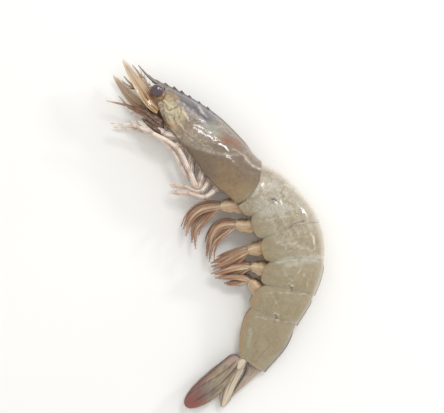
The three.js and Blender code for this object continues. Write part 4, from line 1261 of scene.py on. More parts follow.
def ring_material(colours):
    """Abdomen shell: clear chitin over raw muscle. Grey-beige clouds and faint pale folds
    show through it, the belly side is olive, and the hinges and rear keel are dark."""
    return wet_material(
        "wet_abdomen_shell", colours.ring, colours.ring_green,
        layers=(
            ("pink", colours.pink, 0.6, 0.6),
            ("olive", colours.olive, 0.75, 0.5),
            ("haze", colours.haze, 0.58, 0.9),
            ("margin", colours.pale, 0.6, 0.5),
            ("sun", colours.sun, 0.7, 0.7),
            ("gold", colours.gold, 0.6, 0.6),
            # Pale lines; those high on the back of rings 2 and 3 are painted highlights.
            ("pale", colours.pale, 0.6, 0.8),
            ("crack", colours.brown, 0.55, 0.8),
            ("hinge", colours.dark, 0.85, 0.8),
            ("dark", colours.keel, 0.95, 0.3),
        ),
        clouds_mm=3.4, bloom=0.5, bloom_mm=8.0, bloom_colour=colours.bloom, veins=0.5,
        veins_mm=4.2, vein_colour=colours.pale, specks_mm=0.9, specks=0.24,
        speck_colour=colours.brown, ripple_mm=3.2, ripple=0.18, bump=0.08, flesh=0.35,
        coat=0.85, roughness=0.32,
    )


# The breast, below the belly's hollow.
BREAST = {
    "from": 17, "to": 49, "half_width": 3.2, "depth": 3.4, "clearance": 0.9,
    "groove_from": 17.5, "groove_spacing": 5.5, "groove_depth": 0.12,
}
# The front of the head: its half sizes at its front and rear, its axis, its length from
# ahead of the shield's edge, and how its ends are rounded.
HEAD_FRONT = {
    "back": (0.2, 1.4), "belly": (6.4, 7.4), "width": (2.9, 4.1), "lowered": 0.4,
    "ahead": 6.5, "length": 8.3, "round": 0.25, "rear_round": 0.08, "lumps": 0.07,
}


def belly_roof(along):
    """Height of the roof of the belly's hollow."""
    return BELLY_HOLLOW - smooth_value(BELLY, along) * BELLY_FULLNESS


def breast_middle(along):
    """Height of the breast's middle."""
    return belly_roof(along) - BREAST["clearance"] - BREAST["depth"] / 2


def body_spot(along, back, side, marks):
    """A point of a skin at a place on the body, which is its place on the pattern too."""
    return place(along, back, side), Vector((along, back, side)), marks


def add_breast(bm):
    """The breast between the legs, with a cross groove between each pair of hips."""

    def shape(row, turn):
        along = mix(BREAST["from"], BREAST["to"], row)
        pitch = 2 * math.pi * (along - BREAST["groove_from"]) / BREAST["groove_spacing"]
        size = math.sqrt(max(0.0, math.sin(math.pi * row)))
        size *= 1 - BREAST["groove_depth"] * (0.5 + 0.5 * math.cos(pitch + math.pi))
        angle = 2 * math.pi * turn
        height = breast_middle(along) + BREAST["depth"] / 2 * size * math.sin(angle)
        return body_spot(along, height, BREAST["half_width"] * size * math.cos(angle), {})

    add_skin(bm, 24, 64, shape)


def add_head_front(bm):
    """The front of the head under the beak, which carries the eyes and feelers."""
    form = HEAD_FRONT
    rear = shift_edge(SHIELD_FRONT, -0.3)

    def shape(row, turn):
        angle = 2 * math.pi * turn
        up = math.sin(angle)
        back, belly, width = (mix(*form[side], row) for side in ("back", "belly", "width"))
        scale = rounded(row / form["round"]) * rounded((1 - row) / form["rear_round"])
        scale *= 1 + form["lumps"] * math.sin(5 * angle + 3 * row) * math.sin(9 * row)
        height = (up * back if up > 0 else up * belly) * scale - form["lowered"]
        along = edge_at(rear, height / 8) - form["ahead"] + form["length"] * row
        return body_spot(along, height, width * math.cos(angle) * scale, {
            "soft": smooth(0.2, 0.8, -up) * (1 - 0.75 * smooth(0.35, 0.8, row)),
        })

    add_skin(bm, 40, 44, shape)


PALPS = (
    ((8.4, -7.9, 3.0), (4.0, -8.9, 3.8), (-0.6, -8.8, 3.4), (-4.2, -9.2, 2.8)),
    ((10.0, -9.2, 2.2), (5.0, -10.2, 3.0), (0.4, -10.8, 2.8), (-3.0, -11.4, 2.4)),
    ((12.0, -10.2, 1.6), (7.5, -11.5, 2.4), (3.4, -12.2, 2.2), (0.4, -12.8, 2.0)),
    ((9.4, -8.4, 1.2), (3.6, -9.8, 1.6), (-1.8, -10.2, 1.4)),
)
PALP_WIDTHS = (1.3, 1.5, 1.35, 1.1, 0.75, 0.3)
PALP_JOINTS = (0.5,)


class ShrimpHead(bpy.types.Operator):
    """Builds the soft front of the head, its mouth palps and the breast"""

    bl_idname = "shrimp.head"
    bl_label = "Head Front and Breast"

    def execute(self, context):
        colours = context.scene.shrimp_colours
        # Soft skin under the head: yellow fat and red-brown muscle through a wet film.
        material = wet_material(
            "wet_soft_skin", colours.yellow, colours.leg_shade,
            layers=(("soft", colours.muscle, 0.92, 0.5),), clouds_mm=1.8, veins=0.6,
            veins_mm=2.0, vein_colour=colours.pale, specks_mm=0.7, specks=0.4,
            speck_colour=colours.dark, ripple_mm=0.9, ripple=0.3, flesh=0.4,
        )
        bm = new_mesh(("soft",))
        add_head_front(bm)
        for side in SIDES.values():
            for points in PALPS:
                add_limb(
                    bm, body_route(points, side), jointed(PALP_WIDTHS, PALP_JOINTS), columns=16,
                    step=0.3, lumps=0.4,
                    marks=lambda share, level: {"soft": 1.2 - 0.7 * bell(level - 0.4, 0.14)},
                )
        finish_piece(bm, "head_front_and_palps", ["head_front"], [material])
        bm = new_mesh(("soft",))
        add_breast(bm)
        finish_piece(bm, "breast_plates", ["breast"], [material])
        return {"FINISHED"}


# Each eye: where its middle is, the places and half widths of its stalk, how its globe is
# flattened, and the direction from its middle to its painted highlight.
EYE_PLACE = (-2.6, 0.2, 6.6)
EYE_STALK = ((0.8, -1.2, 2.2), (-1.2, -0.6, 4.2), EYE_PLACE)
EYE_STALK_WIDTHS = (1.3, 1.5, 2.2, 3.0, 3.2, 3.1, 2.2)
EYE_SHAPE = (1.0, 0.94, 0.9)
EYE_SHINE = Vector((0.3, 0.35, 0.89))


def add_eyeball(bm, centre, radius, side):
    """The globe of an eye, whose pole points outwards."""

    def shape(row, turn):
        polar, angle = math.pi * row, 2 * math.pi * turn
        spot = Vector((
            math.sin(polar) * math.cos(angle) * EYE_SHAPE[0],
            math.sin(polar) * math.sin(angle) * EYE_SHAPE[1],
            math.cos(polar) * EYE_SHAPE[2] * side,
        )) * radius
        point = centre + spot
        point.z = max(0.0, point.z)
        # A small white highlight is painted on the globe, on the side facing EYE_SHINE.
        return point, spot, {
            "glint": 0.8 * bell((spot.normalized() - EYE_SHINE).length, 0.12),
            "rim": 0.7 * smooth(0.3, 0.9, 1 - math.cos(polar)),
        }

    add_skin(bm, 40, 28, shape)


class ShrimpEyes(bpy.types.Operator):
    """Builds the eyes on their stalks"""

    bl_idname = "shrimp.eyes"
    bl_label = "Eyes"

    def execute(self, context):
        sizes, colours = context.scene.shrimp_sizes, context.scene.shrimp_colours
        # Compound eye: a glossy dark cornea with a faint purple bloom, fine facets and a painted
        # white highlight.
        cornea = wet_material(
            "wet_cornea", colours.eye, colours.eye_shade,
            layers=(("glint", WHITE, 0.9, 0.0), ("rim", colours.brown, 0.8, 0.4)),
            clouds_mm=2.4, specks_mm=0.3, specks=0.35, speck_colour=colours.eye_facets,
            ripple_mm=2.5, ripple=0.02, bump=0.02, flesh=0.05, coat=1.0, roughness=0.16,
        )
        # Thin orange-brown skin of the stalk.
        stalk = wet_material(
            "wet_eye_stalk", colours.feeler, colours.feeler_shade,
            clouds_mm=1.2, specks_mm=0.5, specks=0.4, speck_colour=colours.dark,
        )
        for name, side in SIDES.items():
            bm = new_mesh(("glint", "rim"))
            route = Route([place(along, back, across * side) for along, back, across in EYE_STALK])
            add_limb(
                bm, route, lambda share: listed(EYE_STALK_WIDTHS, share), columns=24, step=0.25,
                lumps=0.12, material=1,
            )
            add_eyeball(bm, route.points[-1], sizes.eye / MM, side)
            finish_piece(bm, f"eyeball_{name}", [f"eye_{name}"], [cornea, stalk])
        return {"FINISHED"}


SMALL_FEELERS = {
    "left": {
        "stem": ((-3.0, -1.9, 1.7), (-7.5, -1.4, 2.1), (-12, -0.6, 2.2)),
        "upper": ((-11, -0.3, 2.2), (-15, 0.3, 2.5), (-18.6, 0.7, 2.9)),
        "lower": ((-11, -0.9, 2.2), (-15, -1.4, 2.4), (-18, -2.4, 2.6)),
    },
    "right": {
        "stem": ((-3.0, -2.4, -1.7), (-7.5, -3.8, -2.1), (-12, -5.2, -2.3)),
        "upper": ((-11, -4.8, -2.3), (-15, -5.4, -2.6), (-18.6, -5.2, -2.9)),
        "lower": ((-11, -5.5, -2.3), (-14.4, -6.9, -2.5), (-17.6, -7.2, -2.8)),
    },
}
SCALES = {
    "left": ((3.6, -5.6, 2.8), (-0.5, -5.6, 5.3), (-8, -3.9, 6.2), (-22.2, -1.1, 5.0)),
    "right": ((3.6, -5.6, -2.8), (0, -7.4, -5.6), (-8, -9.4, -6.3), (-21.8, -8.6, -5.4)),
}
SCALE_FORM = {
    "half_width": 2.9, "thickness": 0.6, "root": 0.5, "widest": 0.38, "taper": 0.8, "hair": 0.8,
    "ribs": ((0.62, 0.22, 0.3), (-0.3, 0.12, 0.26)),
    "lines": ((0.2, 0.1, 0.26), (0.8, 0.45, 0.22), (-0.55, -0.2, 0.22), (-0.9, -0.6, 0.2)),
}
SCALE_TILT = 0.6
# The hairs of the small feelers are longer and thicker than those of the fringes.
SMALL_FEELER_WIDTHS = (1.4, 1.5, 1.3, 1.45, 1.1, 1.2, 0.8)
SMALL_FEELER_JOINTS = (0.36, 0.68)
WHIP_WIDTHS = (0.5, 0.42, 0.34, 0.25)
WHIP_RING = 0.7
WHIP_SAG = 0.8
FEELER_HAIRS = 44
FEELER_HAIRS_FROM = 0.15
FEELER_HAIR_SPREAD = (0.1, 0.5)
FEELER_HAIR_RISES = (-0.1, 0.15)
FEELER_HAIR_PLACES = (-1.1, 1.1)
FEELER_HAIR_LENGTHS = (1.2, 2.6)
FEELER_HAIR_WIDTH = 1.6
LONG_FEELERS = {
    "left": ((4.4, -7.4, 1.8), (-1.0, -10.0, 3.4), (-7, -12.8, 4.2), (-15.8, -18.2, 4.4)),
    "right": ((4.4, -7.4, -1.8), (-1, -10.4, -3.8), (-7, -13.0, -4.8), (-14.9, -12.8, -5.2)),
}
LONG_FEELER_TAPER = (1.5, 1.7, 1.3, 0.6, 0.5, 0.4, 0.2)
LONG_FEELER_JOINTS = (0.14, 0.3)
LONG_FEELER_RING = 0.8
LONG_FEELER_SAG = 3
# The rings of a whip start about half way along it, and swell it by this share.
RINGED_FROM = (0.45, 0.55)
RING_SWELLING = 0.13


def annulated(widths, spacing, length):
    """Half widths of a whip that is made of many short rings."""
    return lambda share: listed(widths, share) * (
        1 + RING_SWELLING * smooth(*RINGED_FROM, share)
        * math.cos(2 * math.pi * share * length / spacing)
    )


def add_feeler_hairs(bm, stem, sizes, rng):
    """Hairs along both sides of a small feeler's stem."""
    for i in range(FEELER_HAIRS):
        share = FEELER_HAIRS_FROM + (1 - FEELER_HAIRS_FROM) * i / FEELER_HAIRS
        centre, tangent = stem.at(share)
        level, _ = limb_frame(tangent)
        side = 1 if i % 2 else -1
        direction = level * side * rng.uniform(*FEELER_HAIR_SPREAD) + tangent
        direction.z += rng.uniform(*FEELER_HAIR_RISES)
        root = centre + level * rng.uniform(*FEELER_HAIR_PLACES)
        add_hair(
            bm, root, direction.normalized(),
            sizes.hair / MM * rng.uniform(*FEELER_HAIR_LENGTHS),
            FEELER_HAIR_WIDTH * sizes.hair_width / MM,
        )


class ShrimpFeelers(bpy.types.Operator):
    """Builds the small feelers, the scales beside them and the long feelers"""

    bl_idname = "shrimp.feelers"
    bl_label = "Feelers"

    def execute(self, context):
        sizes, colours = context.scene.shrimp_sizes, context.scene.shrimp_colours
        rng = random.Random(11)
        hairs = hair_material(colours)
        # Horny chitin of the feelers: orange tan, red-brown at the joints, pale tips.
        chitin = wet_material(
            "wet_feeler_chitin", colours.feeler, colours.feeler_shade,
            layers=(("joint", colours.feeler_shade, 0.8, 0.4), ("tip", colours.pale, 0.6, 0.2)),
            clouds_mm=1.6, specks_mm=0.6, specks=0.25, speck_colour=colours.dark, ripple_mm=1.0,
            flesh=0.25, stretch=(0.5, 1, 1),
        )
        # Thin leaf of chitin with dark lines, pale ribs and a pale, nearly clear edge.
        leaf = wet_material(
            "wet_scale_leaf", colours.leaf, colours.leaf_light,
            layers=(
                ("edge", colours.leaf_edge, 0.6, 0.9), ("rib", colours.leaf_rib, 0.6, 0.8),
                ("line", colours.feeler_shade, 0.85, 0.7), ("tip", colours.pale, 0.3, 0.6),
            ),
            clouds_mm=1.1, veins=0.9, veins_mm=1.4, vein_colour=colours.feeler_shade,
            specks_mm=0.6, specks=0.25, speck_colour=colours.dark, ripple_mm=1.2, flesh=0.25,
            stretch=(0.08, 1, 1),
        )
        for name, side in SIDES.items():
            bm = new_mesh(("joint", "tip"))
            stem = body_route(SMALL_FEELERS[name]["stem"])
            add_limb(
                bm, stem, jointed(SMALL_FEELER_WIDTHS, SMALL_FEELER_JOINTS), columns=16,
                step=0.3, marks=joint_marks(SMALL_FEELER_JOINTS),
            )
            for whip in ("upper", "lower"):
                route = body_route(SMALL_FEELERS[name][whip], sag=WHIP_SAG)
                add_limb(
                    bm, route, annulated(WHIP_WIDTHS, WHIP_RING, route.length), columns=8,
                    step=0.2, marks=lambda share, level: {"joint": 0.25, "tip": 0.8 * share},
                )
            add_feeler_hairs(bm, stem, sizes, rng)
            finish_piece(
                bm, f"antennule_{name}", [f"small_feeler_{name}"], [chitin, hairs],
            )

            form = {**SCALE_FORM, "tilt": SCALE_TILT * side}
            route = body_route(SCALES[name])
            bm = new_mesh(("edge", "tip", "rib", "line"))
            add_blade(bm, route, form, columns=60)
            add_fringe(bm, route, form, sizes, rng, reach=(0.25, 1.0), edges=(-1,))
            finish_piece(bm, f"scale_leaf_{name}", [f"feeler_scale_{name}"], [leaf, hairs])

            route = body_route(LONG_FEELERS[name], sag=LONG_FEELER_SAG)
            bm = new_mesh(("joint", "tip"))
            base = jointed(LONG_FEELER_TAPER, LONG_FEELER_JOINTS)
            rings = annulated((1.0, 1.0), LONG_FEELER_RING, route.length)
            add_limb(
                bm, route, lambda share: base(share) * rings(share), columns=12, step=0.22,
                marks=lambda share, level: {
                    "joint": 0.95 - 0.7 * smooth(0.2, 0.6, share), "tip": smooth(0.6, 1.0, share),
                },
            )
            finish_piece(bm, f"antenna_{name}", [f"long_feeler_{name}"], [chitin])
        return {"FINISHED"}


JAW_LEG = {
    "hip": 17.5, "half_widths": (1.3, 1.2, 1.1, 1.0, 0.8, 0.3),
    "points": (
        (12, -10.2, 2.7), (7, -10.3, 2.3), (3, -11.2, 1.5), (-2, -12.6, 1.2), (-6, -13.6, 1.2),
    ),
}
# The hairs of a jaw leg: how many, where along it, how they lean, how deep they are set and
# how long they are, as a share of the fringes' hairs.
JAW_HAIRS = {"count": 36, "span": (0.3, 0.98), "lean": 0.8, "out": 0.6, "length": 0.75}
# Each walking leg: where its hip is, its half width, that at its hip as a share of it, its
# claw's length, and its places.
WALKING_LEGS = (
    (21.5, 0.85, 1.9, 4.5, (
        (17.5, -12.0, 2.6), (12, -13.2, 2.0), (6, -14.4, 1.7), (1.5, -15.6, 1.7),
    )),
    (27, 0.85, 1.9, 5, (
        (32.4, -16.0, 3.6), (26.8, -15.0, 4.6), (19.8, -12.9, 4.9), (4.8, -14.0, 4.6),
    )),
    (35, 0.9, 2.3, 5.5, (
        (38.2, -16.6, 5.0), (31.3, -14.2, 6.6), (21.0, -10.9, 7.0), (8.5, -13.9, 6.9),
        (0.5, -17.3, 6.5), (-3.3, -20.4, 6.0),
    )),
    (39.5, 0.75, 2.9, 0, ((40.2, -16.6, 4.4), (34.1, -20.1, 4.2), (28.6, -24.6, 2.8))),
    (44.5, 0.75, 3.2, 0, ((43.4, -17.0, 4.2), (37.4, -20.9, 4.0), (31, -26.4, 2.4))),
)
HIP_SIDE = 1.7
LEG_SAG = 1.6
RIGHT_LEG_SHIFT = 0.7
# A leg's half widths after its hip, as shares of its own, with the last at its claw or its
# bare tip, and its first and last joints as shares of its length.
LEG_TAPER = (1.5, 1.1, 1.0, 0.9, 0.85, 0.85)
CLAW_ROOT, BARE_TIP = 0.8, 0.2
HIP_JOINT, CLAW_JOINT = 0.1, 0.86
# A claw's fingers turn this far from its middle, and taper from root to tip.
CLAW_TURN = 0.16
CLAW_TAPER = (0.66, 0.62, 0.5, 0.36, 0.16)
LEG_MARKS = ("joint", "under", "tip", "line")


def leg_route(hip, points, side):
    """The route of a leg from its hip. The right ones lie a little further back."""
    shift = 0 if side > 0 else RIGHT_LEG_SHIFT
    moved = [(along + shift, back - shift / 2, across) for along, back, across in points]
    return body_route([(hip, breast_middle(hip), HIP_SIDE), *moved], side, LEG_SAG)


def leg_marks(joints):
    """Marks of a leg: its joints, its rear side, its very tip and two lines along it."""
    return lambda share, level: {
        "joint": max(bell(share - joint - 0.008, 0.022) for joint in joints),
        "under": smooth(0.1, 0.9, level) * 0.5 + 0.5 * (1 - smooth(0.05, 0.25, share)),
        "tip": smooth(0.93, 1.0, share),
        "line": max(bell(level + 0.3, 0.16), 0.8 * bell(level - 0.55, 0.14)),
    }


def add_claw(bm, route, length, half_width):
    """A pincer: a swollen palm end with a fixed and a moving finger that meet at the tip."""
    end, heading = route.at(1)
    for turn in (-CLAW_TURN, CLAW_TURN):
        finger = heading.copy()
        finger.rotate(Quaternion((0, 0, 1), turn))
        root = end - heading * half_width
        add_limb(
            bm, Route([root, root + finger * length / 2, end + heading * length]),
            lambda share: half_width * listed(CLAW_TAPER, share), columns=10, step=0.25,
            marks=lambda share, level: {"under": 0.3, "tip": smooth(0.8, 1, share)},
        )


def add_jaw_hairs(bm, route, sizes, rng):
    """Hairs all round the outer part of a jaw leg."""
    for _ in range(JAW_HAIRS["count"]):
        centre, tangent = route.at(rng.uniform(*JAW_HAIRS["span"]))
        level, upward = limb_frame(tangent)
        around = rng.uniform(0, 2 * math.pi)
        direction = level * math.cos(around) + upward * math.sin(around)
        direction = (direction + tangent * JAW_HAIRS["lean"]).normalized()
        add_hair(
            bm, centre + direction * JAW_HAIRS["out"], direction,
            sizes.hair / MM * JAW_HAIRS["length"], sizes.hair_width / MM,
        )


class ShrimpLegs(bpy.types.Operator):
    """Builds the jaw legs and the five pairs of walking legs"""

    bl_idname = "shrimp.legs"
    bl_label = "Jaw and Walking Legs"

    def execute(self, context):
        sizes, colours = context.scene.shrimp_sizes, context.scene.shrimp_colours
        rng = random.Random(23)
        hairs = hair_material(colours)
        # Thin leg shell over pinkish-white flesh: glassy, with tan joints and rear sides.
        material = wet_material(
            "wet_leg_chitin", colours.leg, colours.leg_flesh,
            layers=(
                ("under", colours.leg_shade, 0.45, 0.6), ("line", colours.leg_line, 0.55, 0.5),
                ("joint", colours.leg_shade, 0.5, 0.5), ("tip", colours.pale, 0.6, 0.2),
            ),
            clouds_mm=3.0, specks_mm=0.7, specks=0.12, speck_colour=colours.feeler_shade,
            ripple_mm=1.4, flesh=0.45, depth=1.0, stretch=(0.4, 1, 1),
        )
        for name, side in SIDES.items():
            route = leg_route(JAW_LEG["hip"], JAW_LEG["points"], side)
            joints = route.knots[1:-1]
            bm = new_mesh(LEG_MARKS)
            add_limb(
                bm, route, jointed(JAW_LEG["half_widths"], joints), columns=24,
                marks=leg_marks(joints),
            )
            add_jaw_hairs(bm, route, sizes, rng)
            finish_piece(bm, f"maxilliped_{name}", [f"jaw_leg_{name}"], [material, hairs])
            for index, (hip, half_width, hip_width, claw, points) in enumerate(WALKING_LEGS):
                route = leg_route(hip, points, side)
                joints = [HIP_JOINT, *route.knots[1:-1], CLAW_JOINT]
                tapers = (hip_width, *LEG_TAPER, CLAW_ROOT if claw else BARE_TIP)
                widths = [share * half_width for share in tapers]
                bm = new_mesh(LEG_MARKS)
                add_limb(bm, route, jointed(widths, joints), columns=24, marks=leg_marks(joints))
                if claw:
                    add_claw(bm, route, claw, half_width * CLAW_ROOT)
                node = f"walking_leg_{name}_{index + 1}"
                finish_piece(bm, f"jointed_{node}", [node], [material])
        return {"FINISHED"}


# Each swimming leg: where it is along the body, and how far forward and down its knee, its
# ankle and the places of its outer and its inner blade are.
SWIMMING_LEGS = (
    (59.5, (4.5, 5.8), (8.2, 10),
     ((12.4, 16.4), (12.8, 22.4), (9.2, 29.4)), ((8.6, 17.6), (7.8, 24.4), (2.2, 30.2))),
    (70.5, (3.2, 5.8), (6.8, 9.6),
     ((9.6, 14.4), (8.4, 20), (3.6, 25)), ((6.2, 14.6), (5.6, 21.6), (-0.2, 28))),
    (84, (1, 6.2), (1.4, 10.4),
     ((0.1, 16.6), (-1.2, 22.3), (-2.6, 27)), ((-1.2, 14.4), (-2.4, 18.2), (-3.2, 21.4))),
    (98.5, (1, 5.8), (1.2, 10),
     ((0.2, 16), (-2.2, 21.6), (-4, 26.4)), ((-1.2, 13.6), (-2.6, 17.2), (-3.6, 20))),
    (112, (2.4, 5), (3.8, 8.4),
     ((3, 13.4), (0.8, 18.2), (-1.4, 22.4)), ((1.2, 11.8), (-0.6, 15), (-2.2, 17.8))),
)
SWIM_ROOT_DEPTH = 1.0
SWIM_SIDE = 3.2
SWIM_DROOP = 2
SWIM_STEM_FLATNESS = 0.62
RIGHT_SWIM_LEAN = -0.1
SWIM_BLADE = {
    "thickness": 0.4, "root": 0.6, "widest": 0.35, "taper": 0.7, "hair": 0.6, "edge": 3,
    "ribs": ((0.1, 0.12, 0.22),),
}
SWIM_STEM = (3.2, 3.3, 3.1, 2.8, 2.3, 1.4)
RIBBON_WIDTHS = (0.5, 0.9)
SWIM_OUTER = {**SWIM_BLADE, "half_width": 1.2, "cup": 0.3}
SWIM_INNER = {**SWIM_BLADE, "half_width": 1.0, "cup": -0.3}
# How far inside the stem the blades' roots lie, and how far each blade spreads sideways.
SWIM_INSIDE = 0.6
SWIM_CLOSENESS = 0.8
OUTER_SPREAD, INNER_SPREAD = 0.5, -0.9
# Limits of what varies by chance in the blades, and in the ribbons beside them.
BLADE_TILTS = (-0.3, 0.3)
BLADE_TWISTS = (-0.5, 0.5)
RIBBONS = 3
RIBBON_STEPS = 4
RIBBON_PLACES = (-0.2, 0.2)
RIBBON_PARTINGS = (0.4, 2.0)
RIBBON_STARTS = (0.0, 0.12)
RIBBON_ENDS = (0.75, 1.0)
RIBBON_TILTS = (-0.5, 0.5)
RIBBON_TWISTS = (-1.2, 1.2)
RIBBON_SHADES = (0.0, 1.1)


def add_ribbons(bm, route, form, rng):
    """Narrow twisted ribbons beside a blade, which part from it towards its tip."""
    for i in range(RIBBONS):
        beside = mix(-1.0, 1.0, i / (RIBBONS - 1)) + rng.uniform(*RIBBON_PLACES)
        parting = beside * rng.uniform(*RIBBON_PARTINGS)
        start, end = rng.uniform(*RIBBON_STARTS), rng.uniform(*RIBBON_ENDS)
        points = []
        for step in range(RIBBON_STEPS + 1):
            share = mix(start, end, step / RIBBON_STEPS)
            centre, _, width, across, normal = blade_frame(route, form, share)
            aside = beside * width * 0.7 + parting * share ** 2
            points.append(centre + across * aside + normal * beside * 0.4)
        ribbon = {
            **form, "half_width": rng.uniform(*RIBBON_WIDTHS), "tilt": rng.uniform(*RIBBON_TILTS),
            "twist": rng.uniform(*RIBBON_TWISTS), "cup": 0.1, "ribs": (),
            "shade": rng.uniform(*RIBBON_SHADES),
        }
        add_blade(bm, Route(points), ribbon, columns=14, step=0.5)


def swimming_routes(leg, side):
    """The routes of a swimming leg's stem, outer blade and inner blade."""
    along, knee, ankle, outer, inner = leg
    point, heading = axis_at(along)
    lean = 0 if side > 0 else RIGHT_SWIM_LEAN
    roof = belly_roof(along)

    def spot(forward, down, across):
        ahead = forward * math.cos(lean) - down * math.sin(lean)
        below = forward * math.sin(lean) + down * math.cos(lean) - roof - SWIM_ROOT_DEPTH
        return Vector((
            point.x - ahead * math.cos(heading) + below * math.sin(heading),
            point.y - ahead * math.sin(heading) - below * math.cos(heading),
            middle_height(along) + across,
        ))

    root = SWIM_SIDE * side
    inside = [mix(*pair, SWIM_INSIDE) for pair in zip(knee, ankle)]
    routes = [Route([
        spot(forward, down, root * (1 - 0.1 * i))
        for i, (forward, down) in enumerate(((0, 0), knee, ankle))
    ])]
    for spots, spread in ((outer, OUTER_SPREAD), (inner, INNER_SPREAD)):
        places = [spot(*inside, root * SWIM_CLOSENESS)]
        for i, (forward, down) in enumerate((ankle, *spots)):
            share = i / len(spots)
            across = root * SWIM_CLOSENESS + spread * min(1, 3 * share) - SWIM_DROOP * share
            places.append(spot(forward, down, across))
        routes.append(Route(places))
    return routes


def stem_marks(share, level):
    """Marks of a swimming leg's stem: a pale rib, and a dark edge that runs across it."""
    return {
        "stem": 1 - 0.5 * smooth(0.6, 1.0, share), "rib": 0.6 * bell(level + 0.35, 0.2),
        "edge": 0.6 * bell(level - 0.1 - 0.6 * share, 0.1), "tip": 0.6 * (1 - share),
    }


class ShrimpSwimmingLegs(bpy.types.Operator):
    """Builds the five pairs of swimming legs, each a stem with two fringed blades"""

    bl_idname = "shrimp.swimming_legs"
    bl_label = "Swimming Legs"

    def execute(self, context):
        sizes, colours = context.scene.shrimp_sizes, context.scene.shrimp_colours
        rng = random.Random(37)
        hairs = hair_material(colours)
        # Thin wet blades: tan and see-through, with dark red-brown edges and pale ribs.
        material = wet_material(
            "wet_swimming_leg", colours.paddle, colours.paddle_light,
            layers=(
                ("stem", colours.paddle_stem, 0.8, 0.7), ("rib", colours.paddle_rib, 0.75, 0.5),
                ("edge", colours.paddle_shade, 0.85, 0.5),
                ("tip", colours.paddle_tip, 0.65, 0.7),
            ),
            clouds_mm=2.2, specks_mm=0.6, specks=0.25, speck_colour=colours.paddle_shade,
            ripple_mm=1.3, flesh=0.35, stretch=(0.2, 1, 1),
        )
        for name, side in SIDES.items():
            for index, leg in enumerate(SWIMMING_LEGS):
                stem, outer, inner = swimming_routes(leg, side)
                bm = new_mesh(("edge", "rib", "tip", "stem"))
                add_limb(
                    bm, stem, lambda share: listed(SWIM_STEM, share), columns=32, step=0.3,
                    flatness=SWIM_STEM_FLATNESS, lumps=0.22, marks=stem_marks,
                )
                for route, form in ((outer, SWIM_OUTER), (inner, SWIM_INNER)):
                    twisted = {
                        **form, "tilt": rng.uniform(*BLADE_TILTS),
                        "twist": rng.uniform(*BLADE_TWISTS), "tip_from": 0.3,
                    }
                    add_blade(bm, route, twisted, columns=24)
                    add_ribbons(bm, route, form, rng)
                    add_fringe(bm, route, form, sizes, rng, reach=(0.4, 1.0), spacing=1.5)
                node = f"swimming_leg_{name}_{index + 1}"
                finish_piece(bm, f"fringed_{node}", [node], [material, hairs])
        return {"FINISHED"}


TELSON = {
    "from": 139.5, "tip": 163.6, "root_back": 3.1, "tip_back": -3.0, "half_depth": 3.8,
    "half_width": 3.1, "taper": 1.35, "round": 0.04, "groove": 0.22, "ridge": 0.1,
}
FAN_BASE = {
    "points": ((138.8, -2.9, 2.3), (142.5, -3.9, 2.5), (146.0, -4.6, 2.6)),
    "half_widths": (1.3, 1.5, 1.7, 1.8, 1.6, 1.2),
}
FAN_BLADE = {"thickness": 0.5, "wave": 0.2, "widest": 0.62}
FAN_CUP = 0.2
FAN_MARKS = ("tip", "edge", "rib", "base", "line", "skin", "dusk")
FAN_OUTER = {
    **FAN_BLADE,
    "half_width": 4.9, "root": 0.5, "right_turn": 0.6, "round": 0.1, "tip_from": 0.5,
    "points": ((140.8, -6.4, 3.0), (155, -10.9, 3.5), (170, -17.8, 3.2)),
    "ribs": ((-0.78, 0.16, 0.5), (0.36, 0.2, 0.6)), "edge": 6, "one_edge": True, "hair": 0.6,
    "lines": ((0.2, -0.95, 0.3), (0.75, 0.1, 0.34)), "skin": 0.16, "dusk": (0.3, 0.75),
}
FAN_INNER = {
    **FAN_BLADE,
    "half_width": 2.7, "root": 0.95, "right_turn": 0.3, "taper": 0.8, "tip_from": 0.9, "hair": 0.5,
    "points": ((144, -4.3, 1.8), (153, -4.6, 1.9), (163.6, -3.4, 1.7)),
    "ribs": ((0.0, 0.2, 0.4), (0.5, 0.12, 0.3)), "edge": 12, "cream": -0.2,
    "lines": ((0.1, 0.2, 0.13), (0.62, 0.7, 0.11), (-0.5, -0.5, 0.25)),
}


def add_telson(bm):
    """The spike between the fan's blades: a groove along its top and ridges beside it."""
    form = TELSON

    def shape(row, turn):
        size = max(0.0, 1 - row) ** form["taper"] * rounded(row / form["round"])
        angle = 2 * math.pi * turn
        up, level = math.sin(angle), math.cos(angle)
        relief = 1.0
        if up > 0:
            relief -= form["groove"] * bell(level, 0.22) * size
            relief += form["ridge"] * bell(abs(level) - 0.42, 0.12) * size
        axis = mix(form["root_back"], form["tip_back"], row)
        height = axis + form["half_depth"] * size * up * relief
        return body_spot(
            mix(form["from"], form["tip"], row), height, form["half_width"] * size * level, {
                "tip": smooth(0.75, 1.0, row), "edge": bell(up + 1, 0.42) * smooth(0.1, 0.3, row),
                "rib": bell(up - 0.25, 0.3),
                "line": (bell(up + 0.45, 0.07) + bell(up + 0.05, 0.06))
                * (1 - smooth(0.3, 0.7, row)),
            },
        )

    add_skin(bm, 32, 60, shape)


